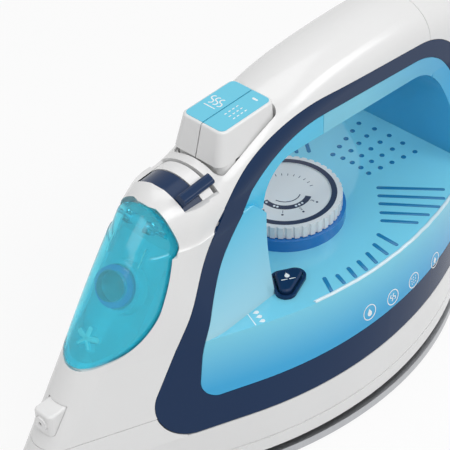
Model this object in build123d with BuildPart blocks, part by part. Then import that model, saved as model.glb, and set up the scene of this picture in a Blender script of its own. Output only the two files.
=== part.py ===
"""Steam iron: sole, see-through water tank, hooped handle housing, dial, buttons, lever and filler door.

Nose towards -X, heel towards +X, left side towards -Y, +Z up. Origin on the ground below the middle.
All lengths are millimetres and all angles degrees.
"""
import os
from math import cos, hypot, pi, radians, sin, tan

from build123d import *

# Plan outline of the body: a rounded tip, straight flanks, a shoulder and a rounded rear
nose_half_angle = 24.0
shoulder_radius = 160.0
rear_turn = 30.0
rear_corner_radius = 30.0

# Sole and heat shield
sole_tip_x = -135.0
sole_tip_radius = 8.0
sole_half_width = 57.5
sole_rear_x = 102.0
sole_thickness = 5.0
sole_edge_chamfer = 1.2
steam_hole_radius = 1.6
steam_hole_pitch = 15.0
steam_hole_inset = 13.0
shield_inset = 3.0
shield_thickness = 3.0

# Body levels and the outlines at those levels: tip, tip radius, half width and rear
skirt_bottom = 8.0
skirt_tip_x = -133.8
skirt_tip_radius = 8.0
skirt_half_width = 56.3
skirt_rear_x = 106.0
seam_level = 30.0
waist_tip_x = -131.5
waist_tip_radius = 9.0
waist_half_width = 55.3
waist_rear_x = 116.0
deck_level = 66.0
deck_tip_x = -104.6
deck_tip_radius = 12.0
deck_half_width = 50.5
deck_rear_x = 126.0
skirt_wall = 2.6
skirt_ceiling = 2.4
nose_seam_level = 40.8
nose_groove_height = 0.3
nose_seam_end_x = -76.0
skirt_step_level = 14.0
skirt_step_depth = 0.5
skirt_step_height = 0.9

# Hood over the front column, as level, tip, tip radius, half width and rear end of each contour
hood_contours = (
    (deck_level, deck_tip_x, deck_tip_radius, 29.0, -12.0),
    (86.0, -89.7, 14.5, 21.5, -12.0),
    (104.0, -76.4, 15.0, 18.8, -24.0),
    (112.0, -70.2, 14.0, 17.4, -40.0),
    (117.0, -65.2, 12.0, 14.8, -44.0),
    (120.0, -61.0, 8.0, 10.5, -45.5),
    (121.8, -56.5, 3.6, 5.0, -46.5),
)
hood_bend = 3

# Handle bar, as station, crown height and half width of each section
handle_sections = (
    (-48.0, 122.4, 17.6),
    (-33.0, 124.0, 17.5),
    (-12.0, 132.6, 17.4),
    (6.0, 138.0, 17.6),
    (45.0, 141.0, 18.2),
    (82.0, 139.2, 18.8),
    (106.0, 132.5, 18.8),
    (118.0, 127.0, 18.0),
)
handle_base_level = 98.0
crown_radius = 22.0
crown_turn = 35.0

# Rear column, as level, rear end, end radius, half width and front end of each contour
rear_contours = (
    (deck_level, 125.6, 26.0, 40.0, 70.0),
    (84.0, 129.2, 20.0, 28.0, 78.0),
    (102.0, 133.6, 15.0, 19.6, 84.0),
    (113.0, 135.6, 13.5, 17.6, 92.0),
    (120.0, 133.4, 11.0, 14.6, 104.0),
    (124.0, 127.0, 7.0, 9.6, 110.0),
)
rear_half_angle = 50.0
heel_low_x = 114.5
heel_low_level = 20.0
heel_high_x = 134.4
heel_high_level = 112.0

# Side-view loops: outer edge of the trim, inner edge of the trim, edge of the finger gap
trim_outer_corners = ((-96.0, 30.0), (-27.0, 134.0), (108.0, 122.0), (104.0, 30.0))
trim_outer_radii = (13.0, 80.0, 34.0, 12.0)
trim_inner_corners = ((-68.6, 42.6), (-62.0, 65.0), (-44.0, 90.7), (-8.0, 124.6), (101.0, 115.0), (96.0, 44.5))
trim_inner_radii = (6.0, 40.0, 60.0, 55.0, 28.0, 8.0)
gap_corners = ((-24.0, 66.0), (-14.0, 115.5), (92.0, 108.5), (90.0, 66.0))
gap_radii = (0.0, 16.0, 20.0, 0.0)
trim_thickness = 2.4
seam_gap = 0.2
liner_wall = 2.6
housing_split_x = 82.0
prism_half_width = 70.0

# Water tank inside the trim
tank_front_low_x = -76.0
tank_front_high_x = -67.0
tank_rear_x = 95.0
tank_wall = 2.4
tank_deck_thickness = 2.6
tank_floor_thickness = 3.0
tank_clearance = 0.2

# Running gap between pieces that move past each other
running_gap = 0.35
shaft_clearance = 0.05

# Temperature dial, its base and the shaft down to the thermostat
dial_x = 15.0
dial_radius = 23.2
dial_height = 5.4
dial_rib_count = 44
dial_rib_groove = 0.7
dial_dish_radius = 18.6
dial_dish_depth = 0.5
dial_base_radius = 24.6
dial_base_height = 5.2
shaft_radius = 3.0
shaft_depth_in_dial = 3.0
shaft_tube_radius = 5.0
shaft_tube_wall = 2.2
thermostat_radius = 11.0
thermostat_base = 2.6
thermostat_neck_radius = 6.0
thermostat_neck = 5.0
thermostat_socket = 4.0

# Steam chamber on the sole
chamber_inset = 6.0
chamber_wall = 3.0
chamber_height = 8.5
gasket_thickness = 0.6
cover_thickness = 1.6
heater_radius = 3.2
heater_leg_y = 24.0
heater_rear_x = 70.0
heater_bend_x = -20.0
fuse_radius = 2.0
fuse_length = 12.0
fuse_x = 52.0

# Self-clean button: rounded triangle on the deck
clean_corners = ((-17.7, -22.5), (-6.0, -29.6), (-27.6, -36.6))
clean_corner_radius = 2.6
clean_stand = 3.2
clean_length = 12.0
clean_travel = 3.0
clean_guide_wall = 1.6
clean_guide_depth = 9.0
clean_edge_radius = 0.9
clean_rod_radius = 1.5

# Pair of push buttons and the pumps below them
button_front_low_x = -35.0
button_front_top_x = -31.4
button_rear_x = -2.6
button_half_width_low = 12.0
button_half_width_top = 10.6
button_low = 123.6
button_top = 136.8
button_travel = 4.0
button_corner_radius = 3.2
button_edge_radius = 1.0
button_split = 0.5
plunger_front_x = -33.0
plunger_rear_x = -24.0
plunger_low = 114.0
inlay_rim = 1.0
inlay_depth = 0.8
inlay_proud = 0.2
pump_x = -30.0
pump_y = 6.3
pump_radius = 4.7
pump_bore_radius = 3.3
pump_low = 80.0
pump_high = 108.5
pump_floor = 2.0
piston_rod_radius = 1.8
piston_length = 6.0
piston_level = 97.0
spring_wire_radius = 0.45
spring_radius = 2.4
spring_turns = 6

# Steam lever: a drum across the ridge with a thumb tab, and the collar behind it
lever_x = -49.3
lever_level = 104.4
lever_pitch = 3.0
drum_radius = 17.2
drum_half_length = 4.3
collar_length = 5.5
slot_width = 1.4
trunnion_radius = 3.0
trunnion_length = 1.5
tab_angle = 33.5
tab_width = 4.4
tab_height = 4.4
tab_corner_radius = 1.2
cam_radius = 4.0
cam_throw = 3.0
cam_length = 2.4
lever_open_level = 116.4
rod_radius = 1.3
rod_head_radius = 2.4
rod_head_height = 1.6
valve_seat_radius = 4.0

# Filler door on the front slope, measured up the slope from the deck level
door_middle = 34.1
door_half_length = 32.3
door_half_width = 16.3
door_top_fullness = 0.5
door_outline_points = 24
door_pocket_depth = 12.0
door_pocket_rim = 2.2
door_gap = 1.0
door_top_sink = 1.5
hinge_up_slope = 60.0
hinge_depth = 6.2
hinge_pin_radius = 0.8
hinge_lug_half_width = 3.0
hinge_ear_width = 3.0
hinge_ear_radius = 2.2
hinge_lug_radius = 1.8
plug_up_slope = 34.5
plug_radius = 8.0
plug_taper = 1.0
plug_top_depth = 6.0
plug_depth = 10.0
plug_boss_radius = 5.8
neck_radius = 10.0
neck_bore_radius = 6.5
neck_top_depth = 7.4
neck_bottom_depth = 24.0
duct_radius = 3.0
duct_offset = 3.4
duct_depth = 60.0

# Spray nozzle on the nose
nozzle_front_x = -120.0
nozzle_rear_x = -103.0
nozzle_low = 46.0
nozzle_high = 55.5
nozzle_half_width = 4.6
nozzle_fillet = 2.0
nozzle_tip_radius = 3.0
nozzle_tip_depth = 4.0
nozzle_tip_stand = 0.8
nozzle_hole_radius = 0.8
nozzle_tip_level = 51.0

# Cord gland at the top of the heel, bore left open
gland_x = 128.0
gland_level = 121.5
gland_pitch = 35.0
gland_radius = 7.0
gland_bore_radius = 3.6
gland_inside = 13.0
gland_stand = 2.0

# Fasteners and rear terminals
screw_radius = 1.5
screw_length = 7.0
screw_head_radius = 3.0
screw_head_height = 2.0
cover_screw_places = ((-70.0, 0.0), (-18.0, 34.0), (-18.0, -34.0), (72.0, 0.0))
terminal_x = 108.0
terminal_level = 78.0
terminal_size = 16.0
liner_split_x = 17.0


def outline_section(level, tip_x, tip_radius, half_width, rear_x, inset=0.0):
    """Plan outline of the body at one level, drawn in by an even inset."""
    tip = tip_x + inset
    rear = rear_x - inset
    side = half_width - inset
    radius = tip_radius - inset
    angle = radians(nose_half_angle)
    turn = radians(rear_turn)
    apex_x = tip + radius - radius / sin(angle)
    flank_y = side - shoulder_radius * (1 - cos(angle))
    flank_x = apex_x + flank_y / tan(angle)
    wide_x = flank_x + shoulder_radius * sin(angle)
    corner = rear_corner_radius - inset
    rear_radius = (rear - wide_x - corner * (1 - sin(turn))) / sin(turn)
    with BuildSketch(Plane.XY.offset(level)) as section:
        with BuildLine():
            tip_arc = JernArc((tip, 0), (0, 1), radius, nose_half_angle - 90)
            flank = Line(tip_arc @ 1, (flank_x, flank_y))
            shoulder = JernArc(flank @ 1, flank % 1, shoulder_radius, -nose_half_angle)
            haunch = JernArc(shoulder @ 1, shoulder % 1, rear_radius, -rear_turn)
            rear_arc = JernArc(haunch @ 1, haunch % 1, corner, rear_turn - 90)
            Line(rear_arc @ 1, (rear, 0))
            mirror(about=Plane.XZ)
        make_face()
    return section.sketch


def contour_section(flank_angle, level, tip_x, tip_radius, half_width, end_x, inset=0.0):
    """Horizontal contour of a column, rounded at its tip and cut square at its other end."""
    facing = 1 if end_x > tip_x else -1
    tip = facing * tip_x + inset
    side = half_width - inset
    radius = tip_radius * side / half_width
    angle = radians(flank_angle)
    shoulder = side
    apex_x = tip + radius - radius / sin(angle)
    flank_y = side - shoulder * (1 - cos(angle))
    flank_x = apex_x + flank_y / tan(angle)
    with BuildSketch(Plane.XY.offset(level)) as section:
        with BuildLine():
            tip_arc = JernArc((tip, 0), (0, 1), radius, flank_angle - 90)
            flank = Line(tip_arc @ 1, (flank_x, flank_y))
            bend = JernArc(flank @ 1, flank % 1, shoulder, -flank_angle)
            wall = Line(bend @ 1, (facing * end_x, side))
            Line(wall @ 1, (facing * end_x, 0))
            mirror(about=Plane.XZ)
        make_face()
        if facing < 0:
            mirror(about=Plane.YZ, mode=Mode.REPLACE)
    return section.sketch


def handle_section(station, crown_level, half_width, inset=0.0):
    """Cross-section of the handle bar: a crowned top on upright sides."""
    side = half_width - inset
    top = crown_level - inset
    corner = (side - crown_radius * sin(radians(crown_turn))) / (1 - sin(radians(crown_turn)))
    with BuildSketch(Plane.YZ.offset(station)) as section:
        with BuildLine():
            crown = JernArc((0, top), (1, 0), crown_radius, -crown_turn)
            shoulder = JernArc(crown @ 1, crown % 1, corner, crown_turn - 90)
            wall = Line(shoulder @ 1, (side, handle_base_level))
            Line(wall @ 1, (0, handle_base_level))
            mirror(about=Plane.YZ)
        make_face()
    return section.sketch


def side_prism(corners, radii, grow=0.0):
    """Side-view loop with rounded corners, run through the body from side to side."""
    with BuildPart() as prism:
        with BuildSketch(Plane.XZ):
            with BuildLine():
                FilletPolyline(*corners, radius=radii, close=True)
            make_face()
            if grow:
                offset(amount=grow)
        extrude(amount=prism_half_width, both=True)
    return prism.part


def low_form(inset):
    """Body below the deck, drawn in by an even inset."""
    low = (
        outline_section(skirt_bottom, skirt_tip_x, skirt_tip_radius, skirt_half_width, skirt_rear_x, inset),
        outline_section(seam_level, waist_tip_x, waist_tip_radius, waist_half_width, waist_rear_x, inset),
        outline_section(deck_level, deck_tip_x, deck_tip_radius, deck_half_width, deck_rear_x, inset),
    )
    with BuildPart() as form:
        loft(sections=low, ruled=True)
    return form.part


def envelope(inset):
    """Whole outer form of the body, drawn in by an even inset."""
    hood = []
    for index, contour in enumerate(hood_contours):
        level = contour[0] - (inset if index else 0)
        hood.append(contour_section(nose_half_angle, level, *contour[1:], inset))
    rear = []
    for index, contour in enumerate(rear_contours):
        level = contour[0] - (inset if index else 0)
        rear.append(contour_section(rear_half_angle, level, *contour[1:], inset))
    bar = [handle_section(*section, inset) for section in handle_sections]
    with BuildPart() as form:
        add(low_form(inset))
        loft(sections=hood[:hood_bend])
        loft(sections=hood[hood_bend - 1:])
        loft(sections=bar)
        loft(sections=rear)
    return form.part


def slab(low_level, high_level, low_x=-200.0, high_x=200.0):
    """Plain block used to keep or remove a stretch of the body."""
    with BuildPart() as block:
        with BuildSketch(Plane.XZ):
            with Locations(((low_x + high_x) / 2, (low_level + high_level) / 2)):
                Rectangle(high_x - low_x, high_level - low_level)
        extrude(amount=prism_half_width, both=True)
    return block.part


def tank_front_x(level):
    """Front wall of the tank at one level."""
    rise = (level - seam_level) / (deck_level - seam_level)
    return tank_front_low_x + rise * (tank_front_high_x - tank_front_low_x)


def tank_prism(inset, low_level, high_level):
    """Side-view block of the tank between two levels, drawn in at its front and rear walls."""
    corners = (
        (tank_front_x(low_level) + inset, low_level),
        (tank_front_x(high_level) + inset, high_level),
        (tank_rear_x - inset, high_level),
        (tank_rear_x - inset, low_level),
    )
    return side_prism(corners, 0.0)


def ring_section(level, outer_inset, inner_inset):
    """Band along the sole's outline between two insets."""
    outer = outline_section(level, sole_tip_x, sole_tip_radius, sole_half_width, sole_rear_x)
    with BuildSketch(Plane.XY.offset(level)) as band:
        add(outer)
        offset(amount=-outer_inset, mode=Mode.REPLACE)
        with BuildSketch(Plane.XY.offset(level), mode=Mode.PRIVATE) as hole:
            add(outer)
            offset(amount=-inner_inset, mode=Mode.REPLACE)
        add(hole.sketch, mode=Mode.SUBTRACT)
    return band.sketch


def door_prism(grow, low_depth):
    """Egg-shaped outline of the filler door, run through the slope from a depth below it."""
    points = []
    for number in range(door_outline_points):
        turn = 2 * pi * number / door_outline_points
        fullness = 1 + door_top_fullness * max(0.0, sin(turn)) ** 3
        across = (door_half_width + grow) * fullness * cos(turn)
        points.append((across, door_middle + (door_half_length + grow) * sin(turn)))
    with BuildPart() as prism:
        with BuildSketch(slope_plane.offset(-low_depth)):
            with BuildLine():
                Spline(*points, periodic=True)
            make_face()
        extrude(amount=low_depth + door_pocket_depth)
    return prism.part


def button_section(level, front_x, rear_x, half_width):
    """Rounded plan of the pair of buttons at one level."""
    with BuildSketch(Plane.XY.offset(level)) as section:
        with Locations(((front_x + rear_x) / 2, 0)):
            RectangleRounded(rear_x - front_x, 2 * half_width, button_corner_radius)
    return section.sketch


def lever_cylinder(radius, start, end):
    """Cylinder about the lever's axis between two stations along it."""
    with BuildPart() as form:
        with BuildSketch(lever_plane.offset(start)):
            Circle(radius)
        extrude(amount=end - start)
    return form.part


def button_well(low_level, front_x, rear_x):
    """Straight-sided well around the foot of the buttons."""
    low = button_section(
        low_level,
        front_x - running_gap,
        rear_x + running_gap,
        button_half_width_low + running_gap,
    )
    with BuildPart() as well:
        extrude(low, amount=2 * (button_top - low_level))
    return well.part


def export(piece, name):
    """Label one finished piece and write it."""
    piece.label = name
    export_step(piece, f"parts/{name}.step")


os.makedirs("parts", exist_ok=True)

# Shared forms that the shells are cut from
skin = envelope(0.0)
trim_core = envelope(trim_thickness)
body_core = envelope(trim_thickness + seam_gap)
outer_loop = side_prism(trim_outer_corners, trim_outer_radii)
outer_loop_small = side_prism(trim_outer_corners, trim_outer_radii, -seam_gap)
outer_loop_large = side_prism(trim_outer_corners, trim_outer_radii, seam_gap)
inner_loop = side_prism(trim_inner_corners, trim_inner_radii)
inner_loop_large = side_prism(trim_inner_corners, trim_inner_radii, seam_gap)
finger_gap = side_prism(gap_corners, gap_radii)
liner_back = side_prism(gap_corners, gap_radii, liner_wall)
housing_face = side_prism(gap_corners, gap_radii, liner_wall + seam_gap)

# Planes of the slanted features: front slope, lever axis and cord gland
slope_run = hood_contours[hood_bend - 1][1] - deck_tip_x
slope_rise = hood_contours[hood_bend - 1][0] - deck_level
slope_normal = Vector(-slope_rise, 0, slope_run).normalized()
slope_up = Vector(slope_run, 0, slope_rise).normalized()
slope_plane = Plane((deck_tip_x, 0, deck_level), x_dir=(0, -1, 0), z_dir=slope_normal)
lever_axis = Vector(cos(radians(lever_pitch)), 0, sin(radians(lever_pitch)))
lever_plane = Plane((lever_x, 0, lever_level), x_dir=(0, -1, 0), z_dir=lever_axis)
gland_axis = Vector(cos(radians(gland_pitch)), 0, sin(radians(gland_pitch)))
gland_plane = Plane((gland_x, 0, gland_level), x_dir=(0, -1, 0), z_dir=gland_axis)
hinge_plane = Plane(
    slope_plane.origin + slope_up * hinge_up_slope - slope_normal * hinge_depth,
    x_dir=slope_up,
    z_dir=(0, -1, 0),
)
plug_plane = Plane(slope_plane.origin + slope_up * plug_up_slope, x_dir=(0, -1, 0), z_dir=slope_normal)
collar_start = drum_half_length + running_gap
collar_end = collar_start + collar_length
slot_end = collar_end + slot_width
cam_start = slot_end + running_gap
cam_end = cam_start + cam_length
cam_reach = cam_radius + cam_throw
rod_x = lever_x + (cam_start + cam_length / 2) * lever_axis.X + cam_reach * lever_axis.Z
rod_top = lever_level + cam_start * lever_axis.Z - cam_reach * lever_axis.X - running_gap
duct_plane = Plane(plug_plane.origin + slope_up * duct_offset, x_dir=(0, -1, 0), z_dir=slope_normal)

# Duct from the filler neck down into the tank
with BuildPart() as duct:
    with BuildSketch(duct_plane.offset(-duct_depth)):
        Circle(duct_radius)
    extrude(amount=duct_depth - neck_bottom_depth)

# Sole with its bevelled edge, steam holes and the rim of the steam chamber
chamber_top = sole_thickness + chamber_height
cover_low = chamber_top + gasket_thickness
cover_high = cover_low + cover_thickness
sole_apex_x = sole_tip_x + sole_tip_radius - sole_tip_radius / sin(radians(nose_half_angle))
hole_places = []
for number in range(6):
    hole_x = sole_tip_x + 2 * steam_hole_inset + number * steam_hole_pitch
    hole_y = (hole_x - sole_apex_x) * tan(radians(nose_half_angle)) - steam_hole_inset
    hole_places.append((hole_x, hole_y))
    hole_places.append((hole_x, -hole_y))
sole_outline = outline_section(0.0, sole_tip_x, sole_tip_radius, sole_half_width, sole_rear_x)
with BuildPart() as soleplate:
    extrude(sole_outline, amount=sole_thickness)
    chamfer(soleplate.edges().group_by(Axis.Z)[0], sole_edge_chamfer)
    extrude(ring_section(sole_thickness, chamber_inset, chamber_inset + chamber_wall), amount=chamber_height)
    with BuildSketch(Plane.XY):
        with Locations(*hole_places):
            Circle(steam_hole_radius)
    extrude(amount=sole_thickness, mode=Mode.SUBTRACT)
    with BuildSketch(Plane.XY.offset(sole_thickness)):
        with Locations(*cover_screw_places):
            Circle(screw_head_radius)
    extrude(amount=chamber_height)
    with BuildSketch(Plane.XY.offset(cover_high - screw_length)):
        with Locations(*cover_screw_places):
            Circle(screw_radius)
    extrude(amount=screw_length, mode=Mode.SUBTRACT)
export(soleplate.part, "soleplate")

# Tubular heater laid in a U on the sole
with BuildPart() as heating_element:
    with BuildLine(Plane.XY.offset(sole_thickness + heater_radius)) as heater_path:
        Line((heater_rear_x, heater_leg_y), (heater_bend_x, heater_leg_y))
        JernArc((heater_bend_x, heater_leg_y), (-1, 0), heater_leg_y, 180)
        Line((heater_bend_x, -heater_leg_y), (heater_rear_x, -heater_leg_y))
    heater_end = (heater_rear_x, heater_leg_y, sole_thickness + heater_radius)
    with BuildSketch(Plane(heater_end, x_dir=(0, 1, 0), z_dir=(-1, 0, 0))):
        Circle(heater_radius)
    sweep(path=heater_path.line)
export(heating_element.part, "heating_element")

# Gasket and cover that close the steam chamber
with BuildPart() as chamber_gasket:
    extrude(
        ring_section(chamber_top, chamber_inset, chamber_inset + chamber_wall),
        amount=gasket_thickness,
    )
export(chamber_gasket.part, "chamber_gasket")

clean_x = sum(corner[0] for corner in clean_corners) / 3
clean_y = sum(corner[1] for corner in clean_corners) / 3
with BuildPart() as chamber_cover:
    with BuildSketch(Plane.XY.offset(cover_low)):
        add(sole_outline)
        offset(amount=-chamber_inset, mode=Mode.REPLACE)
        with Locations(*cover_screw_places):
            Circle(screw_radius, mode=Mode.SUBTRACT)
        with Locations((rod_x, 0)):
            Circle(valve_seat_radius, mode=Mode.SUBTRACT)
        with Locations((clean_x, clean_y)):
            Circle(clean_rod_radius + running_gap, mode=Mode.SUBTRACT)
    extrude(amount=cover_thickness)
export(chamber_cover.part, "chamber_cover")

with BuildPart() as cover_screws:
    with BuildSketch(Plane.XY.offset(cover_high - screw_length)):
        with Locations(*cover_screw_places):
            Circle(screw_radius - shaft_clearance)
    extrude(amount=screw_length)
    with BuildSketch(Plane.XY.offset(cover_high)):
        with Locations(*cover_screw_places):
            Circle(screw_head_radius)
    extrude(amount=screw_head_height)
export(cover_screws.part, "cover_screws")

# Thermostat and thermal fuse on the chamber cover
thermostat_top = cover_high + thermostat_base + thermostat_neck
with BuildPart() as thermostat:
    with BuildSketch(Plane.XY.offset(cover_high)):
        with Locations((dial_x, 0)):
            Circle(thermostat_radius)
    extrude(amount=thermostat_base)
    with BuildSketch(Plane.XY.offset(cover_high + thermostat_base)):
        with Locations((dial_x, 0)):
            Circle(thermostat_neck_radius)
    extrude(amount=thermostat_neck)
    with BuildSketch(Plane.XY.offset(thermostat_top - thermostat_socket)):
        with Locations((dial_x, 0)):
            Circle(shaft_radius)
    extrude(amount=thermostat_socket, mode=Mode.SUBTRACT)
export(thermostat.part, "thermostat")

with BuildPart() as thermal_fuse:
    with BuildSketch(Plane.XZ.offset(-fuse_length / 2)):
        with Locations((fuse_x, cover_high + fuse_radius)):
            Circle(fuse_radius)
    extrude(amount=fuse_length)
export(thermal_fuse.part, "thermal_fuse")

# Black heat shield between the sole and the skirt
with BuildPart() as heat_shield:
    extrude(
        ring_section(sole_thickness, shield_inset, chamber_inset - running_gap),
        amount=shield_thickness,
    )
export(heat_shield.part, "heat_shield")

# White skirt with its raised nose, hollow from below
with BuildPart() as skirt_zone:
    add(slab(0.0, seam_level))
    add(slab(0.0, nose_seam_level, high_x=nose_seam_end_x))
    add(outer_loop_large, mode=Mode.SUBTRACT)
with BuildPart() as skirt_hollow:
    add(low_form(skirt_wall))
    add(slab(0.0, seam_level - skirt_ceiling), mode=Mode.INTERSECT)
with BuildPart() as skirt_groove:
    add(low_form(0.0))
    add(low_form(skirt_step_depth), mode=Mode.SUBTRACT)
    add(slab(skirt_step_level, skirt_step_level + skirt_step_height), mode=Mode.INTERSECT)
with BuildPart() as skirt:
    add(low_form(0.0))
    add(skirt_zone.part, mode=Mode.INTERSECT)
    add(skirt_hollow.part, mode=Mode.SUBTRACT)
    add(skirt_groove.part, mode=Mode.SUBTRACT)
    with BuildSketch(Plane.XY.offset(seam_level)):
        with Locations((dial_x, 0)):
            Circle(shaft_tube_radius)
        with Locations((rod_x, 0)):
            Circle(rod_radius + running_gap)
        with Locations((clean_x, clean_y)):
            Circle(clean_rod_radius + running_gap)
    extrude(amount=-2 * skirt_ceiling, mode=Mode.SUBTRACT)
export(skirt.part, "skirt")

# Water tank: shell with walls, deck, shaft tube and button guide, then its floor
tank_inset = trim_thickness + seam_gap + tank_wall
tank_ceiling = deck_level - tank_deck_thickness
with BuildPart() as tank_hollow:
    add(low_form(tank_inset))
    add(tank_prism(tank_wall, seam_level, tank_ceiling), mode=Mode.INTERSECT)
with BuildSketch(Plane.XY.offset(deck_level)) as clean_outline:
    with BuildLine():
        FilletPolyline(*clean_corners, radius=clean_corner_radius, close=True)
    make_face()
with BuildPart() as tank_shell:
    add(skin)
    add(inner_loop, mode=Mode.INTERSECT)
    add(body_core)
    add(tank_prism(0.0, seam_level, deck_level), mode=Mode.INTERSECT)
    add(tank_hollow.part, mode=Mode.SUBTRACT)
    with BuildSketch(Plane.XY.offset(seam_level)):
        with Locations((dial_x, 0)):
            Circle(shaft_tube_radius + shaft_tube_wall)
    extrude(amount=deck_level - seam_level)
    with BuildSketch(Plane.XY.offset(deck_level)):
        add(clean_outline.sketch)
        offset(amount=running_gap + clean_guide_wall, mode=Mode.REPLACE)
    extrude(amount=-clean_guide_depth)
    with BuildSketch(Plane.XY.offset(deck_level)):
        add(clean_outline.sketch)
        offset(amount=running_gap, mode=Mode.REPLACE)
    extrude(amount=-2 * clean_guide_depth, mode=Mode.SUBTRACT)
    with BuildSketch(Plane.XY.offset(deck_level)):
        with Locations((dial_x, 0)):
            Circle(shaft_tube_radius)
    extrude(amount=seam_level - deck_level, mode=Mode.SUBTRACT)
    with BuildSketch(Plane.XY.offset(deck_level)):
        with Locations((rod_x, 0)):
            Circle(rod_radius + running_gap)
    extrude(amount=-2 * tank_deck_thickness, mode=Mode.SUBTRACT)
    add(duct.part, mode=Mode.SUBTRACT)
export(tank_shell.part, "tank_shell")

with BuildPart() as tank_floor:
    add(low_form(tank_inset + tank_clearance))
    add(
        tank_prism(tank_wall + tank_clearance, seam_level, seam_level + tank_floor_thickness),
        mode=Mode.INTERSECT,
    )
    with BuildSketch(Plane.XY.offset(seam_level)):
        with Locations((dial_x, 0)):
            Circle(shaft_tube_radius + shaft_tube_wall + tank_clearance)
        with Locations((rod_x, 0)):
            Circle(rod_radius + running_gap)
        with Locations((clean_x, clean_y)):
            Circle(clean_rod_radius + running_gap)
    extrude(amount=tank_floor_thickness, mode=Mode.SUBTRACT)
export(tank_floor.part, "tank_floor")

# Trim loops on both flanks, thinned from inside over the lever drum
with BuildPart() as trim_pair:
    add(skin)
    add(outer_loop_small, mode=Mode.INTERSECT)
    add(inner_loop_large, mode=Mode.SUBTRACT)
    add(trim_core, mode=Mode.SUBTRACT)
    add(
        lever_cylinder(drum_radius + 2 * running_gap, -drum_half_length - running_gap, slot_end),
        mode=Mode.SUBTRACT,
    )
trim_sides = trim_pair.part.solids().sort_by(Axis.Y)
for side_name, side_solid in zip(("trim_left", "trim_right"), trim_sides):
    with BuildPart() as trim_side:
        add(side_solid)
    export(trim_side.part, side_name)

# See-through lining of the column and of the underside of the handle, in two lengths
with BuildPart() as liner_core:
    add(trim_core)
    add(liner_back, mode=Mode.SUBTRACT)
with BuildPart() as liner:
    add(skin)
    add(inner_loop, mode=Mode.INTERSECT)
    add(slab(deck_level, 200.0), mode=Mode.INTERSECT)
    add(finger_gap, mode=Mode.SUBTRACT)
    add(liner_core.part, mode=Mode.SUBTRACT)
with BuildPart() as liner_front:
    add(liner.part)
    add(slab(0.0, 200.0, high_x=liner_split_x), mode=Mode.INTERSECT)
export(liner_front.part, "liner_front")
with BuildPart() as liner_rear:
    add(liner.part)
    add(slab(0.0, 200.0, low_x=liner_split_x + seam_gap), mode=Mode.INTERSECT)
export(liner_rear.part, "liner_rear")

# White housing, before its split into front and rear, with a fine groove along the seam on the nose
with BuildPart() as nose_groove:
    add(slab(nose_seam_level, nose_seam_level + nose_groove_height, high_x=nose_seam_end_x))
    add(body_core, mode=Mode.SUBTRACT)
with BuildPart() as housing_core:
    add(body_core)
    add(outer_loop, mode=Mode.INTERSECT)
    add(housing_face, mode=Mode.SUBTRACT)
with BuildPart() as housing:
    add(skin)
    add(outer_loop, mode=Mode.SUBTRACT)
    add(housing_core.part)
    add(slab(0.0, seam_level), mode=Mode.SUBTRACT)
    add(slab(0.0, nose_seam_level, high_x=nose_seam_end_x), mode=Mode.SUBTRACT)
    add(nose_groove.part, mode=Mode.SUBTRACT)
    add(tank_prism(-tank_clearance, seam_level, deck_level), mode=Mode.SUBTRACT)

# Room for the filler door: a rebate that follows the skin, a pocket with a hinge lug, and room to swing
hinge_reach = hypot(door_middle + door_half_length - hinge_up_slope, hinge_depth - door_top_sink)
with BuildPart() as door_rebate:
    add(door_prism(door_gap, 2 * door_pocket_depth))
    add(body_core, mode=Mode.SUBTRACT)
with BuildPart() as hinge_lug:
    with BuildSketch(hinge_plane):
        Circle(hinge_lug_radius)
        with Locations((0, -door_pocket_depth)):
            Rectangle(2 * hinge_lug_radius, 2 * door_pocket_depth)
        Circle(hinge_pin_radius + shaft_clearance, mode=Mode.SUBTRACT)
    extrude(amount=hinge_lug_half_width, both=True)
with BuildPart() as door_swing:
    with BuildSketch(hinge_plane):
        Circle(hinge_reach + running_gap)
    extrude(amount=door_half_width + door_gap, both=True)
    add(door_prism(2 * door_gap, 2 * door_pocket_depth), mode=Mode.INTERSECT)
    add(skin, mode=Mode.INTERSECT)
with BuildPart() as door_pocket:
    add(door_prism(-door_pocket_rim, door_pocket_depth))
    add(door_swing.part)
    add(hinge_lug.part, mode=Mode.SUBTRACT)

# Room for the lever: closed round the drum, open over the ridge, with bores for its trunnion and cam
with BuildPart() as lever_mouth:
    add(lever_cylinder(2 * drum_radius, -drum_half_length - running_gap, slot_end))
    add(slab(lever_open_level, 200.0), mode=Mode.INTERSECT)
with BuildPart() as lever_room:
    add(lever_cylinder(drum_radius + running_gap, -drum_half_length - running_gap, slot_end))
    add(lever_mouth.part)
    add(lever_cylinder(trunnion_radius, -drum_half_length - running_gap - trunnion_length, slot_end))
    add(lever_cylinder(cam_reach + running_gap, slot_end, cam_end + running_gap))

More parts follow.
